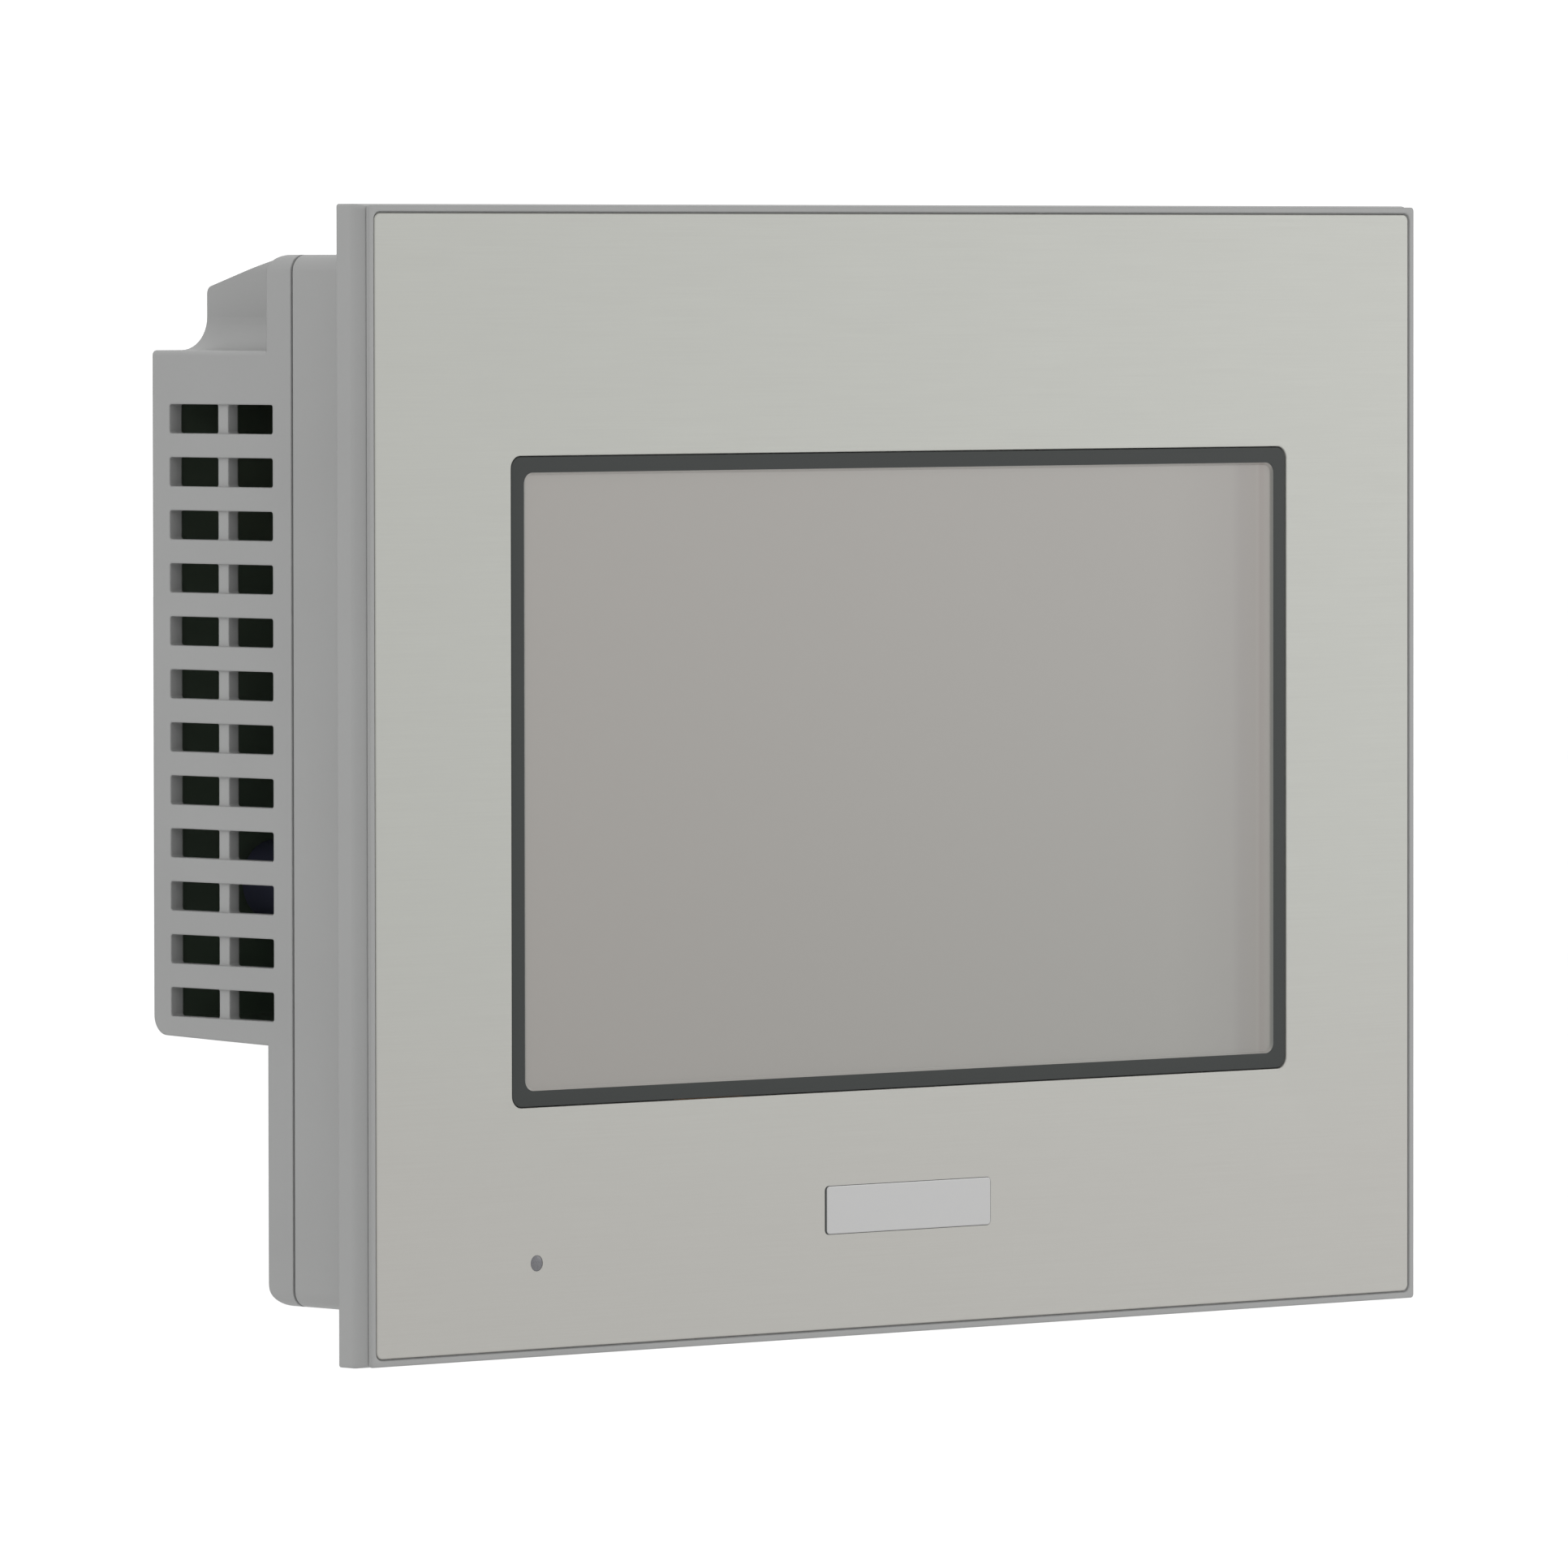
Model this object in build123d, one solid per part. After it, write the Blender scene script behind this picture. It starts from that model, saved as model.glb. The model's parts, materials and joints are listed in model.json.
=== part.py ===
from build123d import *
from math import atan2, degrees
import os

# A 7 inch wide operator panel for a control cabinet door, in millimetres.
# X runs to the operator's right, Y from the front towards the back, and Z up.
# The origin is the middle of the bezel flange's rear face, which rests on the door.

# Driving dimensions of the outside
FLANGE_WIDTH = 218.0
FLANGE_HEIGHT = 173.0
FLANGE_THICK = 6.5
FLANGE_CORNER = 0.4
FLANGE_STRAIGHT = 3.2
FLANGE_INSET = 0.6
LIP_WIDTH_SIDES = 1.15
LIP_WIDTH_ENDS = 0.75
PLATE_GAP = 0.28
PLATE_THICK = 1.1
PLATE_SINK = 0.1
BODY_WIDTH = 202.5
BODY_HEIGHT = 157.5
BODY_CORNER = 2.5
JOINT_Y = 19.65
RIM_Y = 25.3
REAR_Y = 52.0
WALL = 2.4

GASKET_DEPTH = 2.0
GASKET_PROUD = 0.8
GASKET_GAP = 2.4
GROOVE_WIDTH = 3.0

# Deep box on the back: wings as wide as the body, and a narrower block above them
WING_TOP = 64.4
WING_BOTTOM = -39.9
WING_BOTTOM_REAR = -38.95
BLOCK_HALF_WIDTH = 90.5
BLOCK_TOP = 78.75
SLOPE_START_Y = 34.2
SLOPE_END_Z = 73.8
BLOCK_FILLET = 5.0
RIM_BOTTOM_RADIUS = 3.5
RIM_TOP_RADIUS = 2.8

# Side vents
VENT_ROWS = 12
VENT_PITCH = 8.0
VENT_HEIGHT = 4.4
VENT_TOP_ROW = 54.1
VENT_FRONT_Y = 23.9
VENT_REAR_Y = 48.0
VENT_RIB_Y = 35.95
VENT_RIB_WIDTH = 2.3
VENT_RIB_SINK = 0.45
VENT_CORNER = 0.4

# Top vents
TOP_SLOTS = 15
TOP_SLOT_PITCH = 10.8
TOP_SLOT_WIDTH = 3.0
TOP_SLOT_Y = (24.0, 33.0)

# Screen
SCREEN_WIDTH = 160.4
SCREEN_HEIGHT = 97.1
SCREEN_CORNER = 1.8
WINDOW_WIDTH = 155.2
WINDOW_HEIGHT = 92.2
WINDOW_CORNER = 1.6
SCREEN_FRONT = -6.25
BORDER_THICK = 0.15
FILM_THICK = 0.25
GLASS_THICK = 1.8
TAPE_THICK = 0.6
LEDGE_BACK = -1.45
LEDGE_MARGIN = 0.5
LCD_WIDTH = 165.0
LCD_HEIGHT = 104.0
LCD_FRONT = -1.35
LCD_BACK = 6.65

# Front details
LAMP_X = -75.6
LAMP_Z = -72.0
LAMP_RADIUS = 1.2
BADGE_WIDTH = 34.2
BADGE_HEIGHT = 7.5
BADGE_Z = -66.7
BADGE_PROUD = 0.1

# Inside: a steel plate behind the display, and two boards on pillars behind that
CHASSIS_Y = 7.4
CHASSIS_THICK = 1.2
BOARD_Y = 28.0
BOARD_THICK = 1.6
BOARD_REAR = BOARD_Y + BOARD_THICK
BOARD_BOTTOM = -36.6
BOARD_TOP = 62.0
POWER_BOARD_X = (-92.0, -42.0)
MAIN_BOARD_X = (-38.0, 92.0)
PORT_FACE = -38.8
CHASSIS_SCREWS = [(x, z) for x in (-84.0, 0.0, 84.0) for z in (-63.0, 63.0)]
PILLARS = [(x, z) for x in (-86.0, -48.0, -32.0, 86.0) for z in (-31.0, 56.0)]
COVER_SCREWS = [(-95.6, 71.8), (95.6, 71.8), (-94.0, -71.0), (94.0, -71.0)]
BOSS_RADIUS = 3.2
BOSS_BORE = 1.25
SCREW_HOLE = 1.7

# Main board: processor, clock cell, sounder
CPU_X = 10.0
CPU_Z = 6.0
CPU_SIZE = 27.0
CPU_THICK = 2.2
SINK_SIZE = 42.0
SINK_HEIGHT = 14.0
SINK_FINS = 11
FIN_THICK = 1.2
CELL_CENTRE = (-25.0, 18.0)
BUZZER_CENTRE = (-24.0, 45.0)

# Power board: transformer and filter choke
TRANSFORMER_X = -67.0
TRANSFORMER_Z = 16.0
CHOKE_Z = 43.0

# Clamp slots in the body's top and bottom
CLAMP_X = 60.0
CLAMP_WIDTH = 14.0
CLAMP_Y = (9.0, 15.0)

# Driver board under the display
DRIVER_X = (-79.0, -6.0)
DRIVER_Z = (-74.5, -56.0)
DRIVER_Y = 3.0

# Touch screen tail
TAIL_X = (-47.0, -33.0)
TAIL_THICK = 0.15
TAIL_Z = -53.6
TAIL_Y = 1.9

# Power plug, three poles
PLUG_X = -67.0
PLUG_POLES = 3
PLUG_PITCH = 5.08
PLUG_BODY = (17.0, 10.4, 17.0)
HEADER_WIDTH = 19.6
HEADER_DEPTH = 13.0
HEADER_HEIGHT = 12.4
PLUG_Y = BOARD_REAR + HEADER_HEIGHT / 2
PLUG_TOP = -31.0
PLUG_BOTTOM = PLUG_TOP - PLUG_BODY[2] - 5.0
PLUG_SCREW_Z = PLUG_BOTTOM + 4.6

# Other ports, which open downwards
LAN_X = -20.5
USB_X = 0.0
SERIAL_X = 30.0
SERIAL_Y = BOARD_REAR + 6.6
SERIAL_FLANGE = (-39.7, -38.9)
SERIAL_TIP = -45.2
SERIAL_SHELL = (16.9, 8.3)
JACK_SPACING = 25.0
JACK_BORE = 1.42

# Card bay behind a door in the right side
DOOR_Z = (-32.0, 32.0)
DOOR_Y = (29.2, 46.6)
DOOR_THICK = 1.6
DOOR_GAP = 0.35
DOOR_SWING_ROOM = 0.6
HINGE_RADIUS = 1.2
HINGE_PIN = 0.6
PIN_CLEARANCE = 0.05
HINGE_X = BODY_WIDTH / 2 - HINGE_RADIUS
HINGE_Y = DOOR_Y[1] - HINGE_RADIUS
CARD_X = (56.0, 96.0)
CARD_Z = (-17.0, 26.0)
CARD_Y = (30.0, 35.6)
EJECT_Z = 28.6
EJECT_Y = 32.8
EJECT_SIZE = 3.4
EJECT_TIP = 98.7
DIP_X = (86.0, 95.2)
DIP_Z = (-28.2, -17.2)
DIP_HEIGHT = 9.9
DIP_COUNT = 4
DIP_PITCH = 2.54
DIP_KNOB = 1.2
DIP_TRAVEL = 1.4

# Expansion lid, rating label
LID_CENTRE = (30.0, 47.0)
LID_SIZE = (74.0, 22.0)
LID_THICK = 1.5
LABEL_CENTRE = (-48.0, 2.0)
LABEL_SIZE = (62.0, 40.0)
LABEL_THICK = 0.2


def block(x_span, y_span, z_span):
    """A box between two values on each axis."""
    size = [span[1] - span[0] for span in (x_span, y_span, z_span)]
    middle = [(span[0] + span[1]) / 2 for span in (x_span, y_span, z_span)]
    return Pos(*middle) * Box(*size)


def about(centre, size):
    """The span of a given size about a centre."""
    return (centre - size / 2, centre + size / 2)


def slab(width, height, corner, y_span, x=0.0, z=0.0):
    """A rounded rectangle seen from the front, between two depths."""
    depth = y_span[1] - y_span[0]
    flat = extrude(RectangleRounded(width, height, corner), amount=depth)
    return Pos(x, y_span[1], z) * (Plane.XZ * flat)


def rod_y(radius, y_span, x, z):
    """A round bar along the depth."""
    middle = (y_span[0] + y_span[1]) / 2
    return Pos(x, middle, z) * Rot(90, 0, 0) * Cylinder(radius, y_span[1] - y_span[0])


def rod_z(radius, z_span, x, y):
    """A round bar along the height."""
    return Pos(x, y, (z_span[0] + z_span[1]) / 2) * Cylinder(radius, z_span[1] - z_span[0])


def rod_x(radius, x_span, y, z):
    """A round bar along the width."""
    middle = (x_span[0] + x_span[1]) / 2
    return Pos(middle, y, z) * Rot(0, 90, 0) * Cylinder(radius, x_span[1] - x_span[0])


def hex_y(across_flats, y_span, x, z):
    """A hexagonal bar along the depth."""
    flat = RegularPolygon(across_flats / 2, 6, major_radius=False)
    bar = extrude(flat, amount=y_span[1] - y_span[0])
    return Pos(x, y_span[1], z) * (Plane.XZ * bar)


def hex_z(across_flats, z_span, x, y):
    """A hexagonal bar along the height."""
    flat = RegularPolygon(across_flats / 2, 6, major_radius=False)
    return Pos(x, y, z_span[0]) * extrude(flat, amount=z_span[1] - z_span[0])


def group(pieces):
    """Separate pieces kept in one node."""
    return Compound(children=[solid for piece in pieces for solid in piece.solids()])


def front_outline(points, radii, y_span):
    """An outline seen from the front, between two depths."""
    face = make_face(FilletPolyline(points, radius=radii, close=True))
    return Pos(0, y_span[1], 0) * (Plane.XZ * extrude(face, amount=y_span[1] - y_span[0]))


def side_outline(points, radii, half_width):
    """An outline seen from the side, across the whole width."""
    face = make_face(FilletPolyline(points, radius=radii, close=True))
    return Pos(-half_width, 0, 0) * (Plane.YZ * extrude(face, amount=2 * half_width))


def pan_head_screw(x, z, head_y, length, shank, head, head_height):
    """A screw that is driven forwards, with its head behind head_y."""
    screw = rod_y(shank, (head_y - length, head_y), x, z)
    screw += rod_y(head, (head_y, head_y + head_height), x, z)
    for turn in (0, 90):
        slot = Box(head * 1.1, head_height, 0.6)
        screw -= Pos(x, head_y + head_height, z) * Rot(0, turn, 0) * slot
    return screw


# ---- Front


def flange():
    """The bezel flange: a straight side, then a slight lean towards the front."""
    outline = RectangleRounded(FLANGE_WIDTH, FLANGE_HEIGHT, FLANGE_CORNER)
    straight = extrude(outline, amount=FLANGE_STRAIGHT)
    lean = degrees(atan2(FLANGE_INSET, FLANGE_THICK - FLANGE_STRAIGHT))
    front = extrude(outline, amount=FLANGE_THICK - FLANGE_STRAIGHT, taper=lean)
    return (Plane.XZ * straight) + Pos(0, -FLANGE_STRAIGHT, 0) * (Plane.XZ * front)


def seat_size():
    """The width and height inside the raised lip, which the face plate drops into."""
    width = FLANGE_WIDTH - 2 * (FLANGE_INSET + LIP_WIDTH_SIDES)
    height = FLANGE_HEIGHT - 2 * (FLANGE_INSET + LIP_WIDTH_ENDS)
    return width, height


def front_bezel():
    """The flange and the front tub of the case, one grey moulding."""
    shape = flange() + slab(BODY_WIDTH, BODY_HEIGHT, BODY_CORNER, (0, JOINT_Y))
    seat = -FLANGE_THICK + PLATE_SINK + PLATE_THICK
    shape -= slab(*seat_size(), 1.2, (-FLANGE_THICK - 1, seat))
    ledge_front = SCREEN_FRONT + BORDER_THICK + FILM_THICK + GLASS_THICK + TAPE_THICK
    shape -= slab(SCREEN_WIDTH + 0.6, SCREEN_HEIGHT + 0.6, SCREEN_CORNER, (seat - 1, ledge_front))
    shape -= slab(
        WINDOW_WIDTH + 2 * LEDGE_MARGIN,
        WINDOW_HEIGHT + 2 * LEDGE_MARGIN,
        WINDOW_CORNER,
        (ledge_front - 1, LEDGE_BACK),
    )
    shape -= slab(
        BODY_WIDTH - 2 * WALL,
        BODY_HEIGHT - 2 * WALL,
        BODY_CORNER - 1.5,
        (LEDGE_BACK, JOINT_Y),
    )
    for x, z in CHASSIS_SCREWS:
        shape += rod_y(BOSS_RADIUS, (LEDGE_BACK, CHASSIS_Y), x, z)
        shape -= rod_y(BOSS_BORE, (LEDGE_BACK + 1, CHASSIS_Y), x, z)
    for x, z in COVER_SCREWS:
        shape += rod_y(BOSS_RADIUS, (LEDGE_BACK, JOINT_Y), x, z)
        shape -= rod_y(BOSS_BORE, (JOINT_Y - 12, JOINT_Y), x, z)
    shape -= gasket_ring(GASKET_DEPTH, 0.0, GROOVE_WIDTH)
    shape -= rod_y(LAMP_RADIUS + 0.05, (-FLANGE_THICK, LEDGE_BACK), LAMP_X, LAMP_Z)
    tail_room = (TAIL_X[0] - 1, TAIL_X[1] + 1)
    shape -= block(tail_room, (seat, seat + 0.5), (TAIL_Z - 0.6, -SCREEN_HEIGHT / 2))
    shape -= block(tail_room, (seat, LEDGE_BACK), (TAIL_Z - 0.6, TAIL_Z + 0.6))
    for x in (-CLAMP_X, CLAMP_X):
        for z in (-1, 1):
            wall_z = about(z * BODY_HEIGHT / 2, 3 * WALL)
            shape -= block(about(x, CLAMP_WIDTH), CLAMP_Y, wall_z)
    return shape


def gasket_ring(depth, proud, width):
    """A ring in the groove round the body, in the flange's rear face."""
    inner_gap = GASKET_GAP + (GROOVE_WIDTH - width) / 2
    inner_width = BODY_WIDTH + 2 * inner_gap
    inner_height = BODY_HEIGHT + 2 * inner_gap
    ring = slab(inner_width + 2 * width, inner_height + 2 * width, 5.0, (-depth, proud))
    return ring - slab(inner_width, inner_height, 3.0, (-depth, proud))


def panel_gasket():
    """The seal against the cabinet door, a little proud of the flange."""
    return gasket_ring(GASKET_DEPTH, GASKET_PROUD, GROOVE_WIDTH - 0.2)


def face_plate():
    """The metal front sheet round the screen."""
    width, height = seat_size()
    front = -FLANGE_THICK + PLATE_SINK
    plate = slab(
        width - 2 * PLATE_GAP,
        height - 2 * PLATE_GAP,
        1.0,
        (front, front + PLATE_THICK),
    )
    plate -= slab(
        SCREEN_WIDTH + 0.3,
        SCREEN_HEIGHT + 0.3,
        SCREEN_CORNER,
        (front, front + PLATE_THICK),
    )
    plate -= rod_y(LAMP_RADIUS + 0.05, (front, front + PLATE_THICK), LAMP_X, LAMP_Z)
    badge_room = (front, front + 0.5)
    plate -= slab(BADGE_WIDTH + 0.1, BADGE_HEIGHT + 0.1, 0.7, badge_room, 0, BADGE_Z)
    return plate


def badge_plate():
    """A blank badge, let into the face plate."""
    front = -FLANGE_THICK + PLATE_SINK
    return slab(BADGE_WIDTH, BADGE_HEIGHT, 0.7, (front - BADGE_PROUD, front + 0.5), 0, BADGE_Z)


def status_window():
    """The light pipe of the status lamp, with a collar behind the bezel."""
    pipe = rod_y(LAMP_RADIUS, (-FLANGE_THICK + PLATE_SINK, LEDGE_BACK), LAMP_X, LAMP_Z)
    return pipe + rod_y(2.0, (LEDGE_BACK, 0.6), LAMP_X, LAMP_Z)


# ---- Screen, from the front backwards


def screen_border():
    """The black margin that frames the picture."""
    span = (SCREEN_FRONT, SCREEN_FRONT + BORDER_THICK)
    ring = slab(SCREEN_WIDTH, SCREEN_HEIGHT, SCREEN_CORNER, span)
    return ring - slab(WINDOW_WIDTH, WINDOW_HEIGHT, WINDOW_CORNER, span)


def screen_layer(front, thick, shrink):
    """One full sheet of the screen."""
    width = SCREEN_WIDTH - shrink
    height = SCREEN_HEIGHT - shrink
    return slab(width, height, SCREEN_CORNER, (front, front + thick))


def touch_film():
    """The flexible sheet that the finger presses."""
    return screen_layer(SCREEN_FRONT + BORDER_THICK, FILM_THICK, 0.0)


def touch_glass():
    """The glass that the film is pressed against."""
    return screen_layer(SCREEN_FRONT + BORDER_THICK + FILM_THICK, GLASS_THICK, 0.4)


def touch_gasket():
    """The foam tape that holds the glass on the bezel's ledge."""
    front = SCREEN_FRONT + BORDER_THICK + FILM_THICK + GLASS_THICK
    ring = screen_layer(front, TAPE_THICK, 0.6)
    inner_width = WINDOW_WIDTH + 2 * LEDGE_MARGIN
    inner_height = WINDOW_HEIGHT + 2 * LEDGE_MARGIN
    return ring - slab(inner_width, inner_height, 1.0, (front, front + TAPE_THICK))


def touch_tail():
    """The thin lead from the touch film to the driver board."""
    film_back = SCREEN_FRONT + BORDER_THICK + FILM_THICK
    edge = -SCREEN_HEIGHT / 2
    channel = -FLANGE_THICK + PLATE_SINK + PLATE_THICK + 0.15
    down = block(TAIL_X, (film_back, channel + TAIL_THICK), (edge, edge + TAIL_THICK))
    out = block(TAIL_X, (channel, channel + TAIL_THICK), (TAIL_Z, edge + TAIL_THICK))
    back = block(TAIL_X, (channel, TAIL_Y + TAIL_THICK), (TAIL_Z, TAIL_Z + TAIL_THICK))
    plug = block(TAIL_X, (TAIL_Y, TAIL_Y + TAIL_THICK), (-57.0, TAIL_Z + TAIL_THICK))
    return down + out + back + plug


def lcd_frame():
    """The folded steel frame round the display."""
    frame = slab(LCD_WIDTH, LCD_HEIGHT, 1.0, (LCD_FRONT, LCD_BACK - 2.0))
    frame -= slab(LCD_WIDTH - 1.0, LCD_HEIGHT - 1.0, 0.8, (LCD_FRONT + 0.4, LCD_BACK))
    return frame - slab(WINDOW_WIDTH - 0.5, WINDOW_HEIGHT - 0.4, 0.5, (LCD_FRONT - 1, LCD_BACK))


def lcd_panel():
    """The liquid crystal cell."""
    return slab(LCD_WIDTH - 3, LCD_HEIGHT - 3, 0.5, (LCD_FRONT + 0.4, LCD_FRONT + 1.8))


def light_guide():
    """The backlight's clear sheet with its reflector."""
    return slab(LCD_WIDTH - 3, LCD_HEIGHT - 3, 0.5, (LCD_FRONT + 1.9, LCD_FRONT + 5.4))


def lcd_tray():
    """The display's rear tray."""
    tray = slab(LCD_WIDTH - 1.2, LCD_HEIGHT - 1.2, 0.8, (LCD_FRONT + 3.0, LCD_BACK))
    return tray - slab(LCD_WIDTH - 2.6, LCD_HEIGHT - 2.6, 0.5, (LCD_FRONT + 2.0, LCD_BACK - 1.2))


def lcd_cable():
    """The flat cable from the display to the main board."""
    x_span = (20.0, 44.0)
    edge = -LCD_HEIGHT / 2 - 1.0
    foot = block(x_span, (LCD_BACK - 1.0, LCD_BACK - 0.8), (edge - 0.2, edge + 1.0))
    out = block(x_span, (LCD_BACK - 1.0, 21.2), (edge - 0.2, edge))
    rise = block(x_span, (21.0, 21.2), (edge - 0.2, -33.0))
    back = block(x_span, (21.0, 25.0), (-33.2, -33.0))
    plug = block((18.0, 46.0), (25.0, BOARD_Y), (-35.0, -31.0))
    return foot + out + rise + back + plug


# ---- Inner frame and boards


def display_chassis():
    """The steel plate that clamps the display and carries the boards."""
    span = (CHASSIS_Y, CHASSIS_Y + CHASSIS_THICK)
    plate = slab(180.0, 138.0, 3.0, span)
    plate -= block((DRIVER_X[0] + 2, DRIVER_X[1] - 2), span, (-70.0, -54.5))
    plate -= block((16.0, 48.0), span, (-57.0, -51.0))
    for x, z in CHASSIS_SCREWS:
        plate -= rod_y(SCREW_HOLE, span, x, z)
    for x in (-30.0, 30.0):
        plate -= slab(34.0, 60.0, 4.0, span, x, 2.0)
    for side in (-1, 1):
        fold = block((-78.0, 78.0), (span[1], span[1] + 5.0), about(side * 68.4, 1.2))
        plate += fold - block((-80.0, -4.0), (span[1], span[1] + 5.0), (-70.0, -54.5))
    return plate


def chassis_screws():
    """Six screws that hold the chassis to the bezel."""
    head_y = CHASSIS_Y + CHASSIS_THICK
    screws = [pan_head_screw(x, z, head_y, 7.0, 1.23, 2.8, 1.9) for x, z in CHASSIS_SCREWS]
    return group(screws)


def board_pillars():
    """Hexagonal pillars between the chassis and the boards."""
    span = (CHASSIS_Y + CHASSIS_THICK, BOARD_Y)
    pillars = []
    for x, z in PILLARS:
        pillar = hex_y(5.5, span, x, z)
        pillars.append(pillar - rod_y(BOSS_BORE, (BOARD_Y - 8, BOARD_Y), x, z))
    return group(pillars)


def circuit_board(x_span):
    """A printed circuit board with a hole at each pillar."""
    board = block(x_span, (BOARD_Y, BOARD_REAR), (BOARD_BOTTOM, BOARD_TOP))
    for x, z in PILLARS:
        if x_span[0] < x < x_span[1]:
            board -= rod_y(1.6, (BOARD_Y, BOARD_REAR), x, z)
    return board


def board_screws():
    """The screws that hold both boards on their pillars."""
    return group([pan_head_screw(x, z, BOARD_REAR, 7.0, 1.23, 2.7, 1.8) for x, z in PILLARS])


def chip(x, z, width, height, thick, base=BOARD_REAR):
    """One flat component on the rear side of a board."""
    return block(about(x, width), (base, base + thick), about(z, height))


def can(x, z, radius, height, base=BOARD_REAR):
    """One round component standing on a board."""
    neck = (base + 1.6, base + 2.2)
    groove = rod_y(radius + 1, neck, x, z) - rod_y(radius - 0.3, neck, x, z)
    return rod_y(radius, (base, base + height), x, z) - groove


def processor_chip():
    """The processor, under the heat sink."""
    return chip(CPU_X, CPU_Z, CPU_SIZE, CPU_SIZE, CPU_THICK)


def heat_sink():
    """A finned aluminium heat sink on the processor."""
    base_y = BOARD_REAR + CPU_THICK
    z_span = about(CPU_Z, SINK_SIZE)
    sink = block(about(CPU_X, SINK_SIZE), (base_y, base_y + 2.5), z_span)
    pitch = (SINK_SIZE - FIN_THICK) / (SINK_FINS - 1)
    for number in range(SINK_FINS):
        x = CPU_X + (number - (SINK_FINS - 1) / 2) * pitch
        sink += block(about(x, FIN_THICK), (base_y, base_y + SINK_HEIGHT), z_span)
    return sink


def memory_chips():
    """Working memory and storage chips beside the processor."""
    places = [(43.0, -10.0), (43.0, 3.0), (43.0, 16.0)]
    return group([chip(x, z, 14.0, 9.0, 1.1) for x, z in places])


def board_capacitors():
    """Electrolytic capacitors of the main board."""
    places = [(71.0, 53.0), (71.0, 42.5), (80.0, 48.0), (50.0, 31.0)]
    return group([can(x, z, 3.9, 9.0) for x, z in places])


def board_inductors():
    """Shielded inductors of the main board's voltage converters."""
    places = [(64.0, 34.5), (79.0, 35.5), (-8.0, 36.0)]
    return group([chip(x, z, 7.0, 7.0, 4.0) for x, z in places])


def cell_holder():
    """The socket of the clock's battery, open at the back."""
    cup = rod_y(11.6, (BOARD_REAR, BOARD_REAR + 4.6), *CELL_CENTRE)
    return cup - rod_y(10.1, (BOARD_REAR + 1.0, BOARD_REAR + 4.6), *CELL_CENTRE)


def clock_cell():
    """A 20 mm coin cell."""
    return rod_y(10.0, (BOARD_REAR + 1.0, BOARD_REAR + 4.2), *CELL_CENTRE)


def buzzer():
    """The round sounder, with its sound hole."""
    body = rod_y(6.0, (BOARD_REAR, BOARD_REAR + 6.5), *BUZZER_CENTRE)
    return body - rod_y(1.0, (BOARD_REAR + 5.0, BOARD_REAR + 6.5), *BUZZER_CENTRE)


def expansion_socket():
    """The long socket behind the expansion lid."""
    x = LID_CENTRE[0]
    z = LID_CENTRE[1] + 2.0
    mouth_y = BOARD_REAR + 11.0
    socket = chip(x, z, 56.0, 8.0, 11.0)
    return socket - block(about(x, 52.0), (mouth_y - 6, mouth_y), about(z, 4.6))


def power_transformer():
    """The isolating transformer of the supply."""
    core = chip(TRANSFORMER_X, TRANSFORMER_Z, 26.0, 22.0, 16.0)
    winding = rod_x(7.0, about(TRANSFORMER_X, 20.0), BOARD_REAR + 8.0, TRANSFORMER_Z)
    gap = chip(TRANSFORMER_X, TRANSFORMER_Z, 18.0, 14.8, 16.0)
    return core - gap + winding


def power_capacitors():
    """Large capacitors of the supply."""
    places = [(-83.0, -16.0), (-67.0, -12.0), (-51.0, -16.0)]
    return group([can(x, z, 6.2, 16.0) for x, z in places])


def power_choke():
    """The ring-shaped filter choke."""
    return Pos(TRANSFORMER_X, BOARD_REAR + 4.6, CHOKE_Z) * Rot(90, 0, 0) * Torus(8.0, 4.4)


def power_link():
    """The short flat link between the two boards."""
    z_span = (26.0, 40.0)
    top = BOARD_REAR + 5.0
    near = block((-46.0, -42.5), (BOARD_REAR, top), z_span)
    far = block((-37.5, -34.0), (BOARD_REAR, top), z_span)
    bridge = block((-46.0, -34.0), (top - 1.0, top), (27.0, 39.0))
    return near + far + bridge


def driver_board():
    """The small board under the display: lamp, backlight driver, touch input."""
    return block(DRIVER_X, (DRIVER_Y, DRIVER_Y + BOARD_THICK), DRIVER_Z)


def driver_chips():
    """The parts on the driver board's rear face."""
    base = DRIVER_Y + BOARD_THICK
    controller = chip(-66.0, -64.0, 10.0, 7.0, 1.4, base)
    coils = [chip(x, -65.0, 7.0, 7.0, 3.0, base) for x in (-50.0, -40.0)]
    return group([controller] + coils)


def driver_sockets():
    """The touch tail's socket and the driver cable's socket."""
    front = block((TAIL_X[0] - 2, TAIL_X[1] + 2), (TAIL_Y - 1.0, DRIVER_Y), (-61.0, -57.0))
    rear_y = DRIVER_Y + BOARD_THICK
    rear = block((-27.0, -11.0), (rear_y, rear_y + 3.0), (-68.0, -64.0))
    return group([front, rear])


def driver_cable():
    """The flat cable from the driver board to the main board."""
    x_span = (-26.0, -12.0)
    start = DRIVER_Y + BOARD_THICK + 3.0
    out = block(x_span, (start, 21.0), (-66.2, -65.8))
    rise = block(x_span, (20.6, 21.0), (-66.2, -30.0))
    back = block(x_span, (20.6, 25.0), (-30.4, -30.0))
    plug = block((-27.0, -11.0), (25.0, BOARD_Y), (-32.0, -28.0))
    return out + rise + back + plug


def status_lamp():
    """The light-emitting diode behind the status window."""
    return block(about(LAMP_X, 3.2), (0.8, DRIVER_Y), about(LAMP_Z, 2.6))


# ---- Ports


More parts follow.
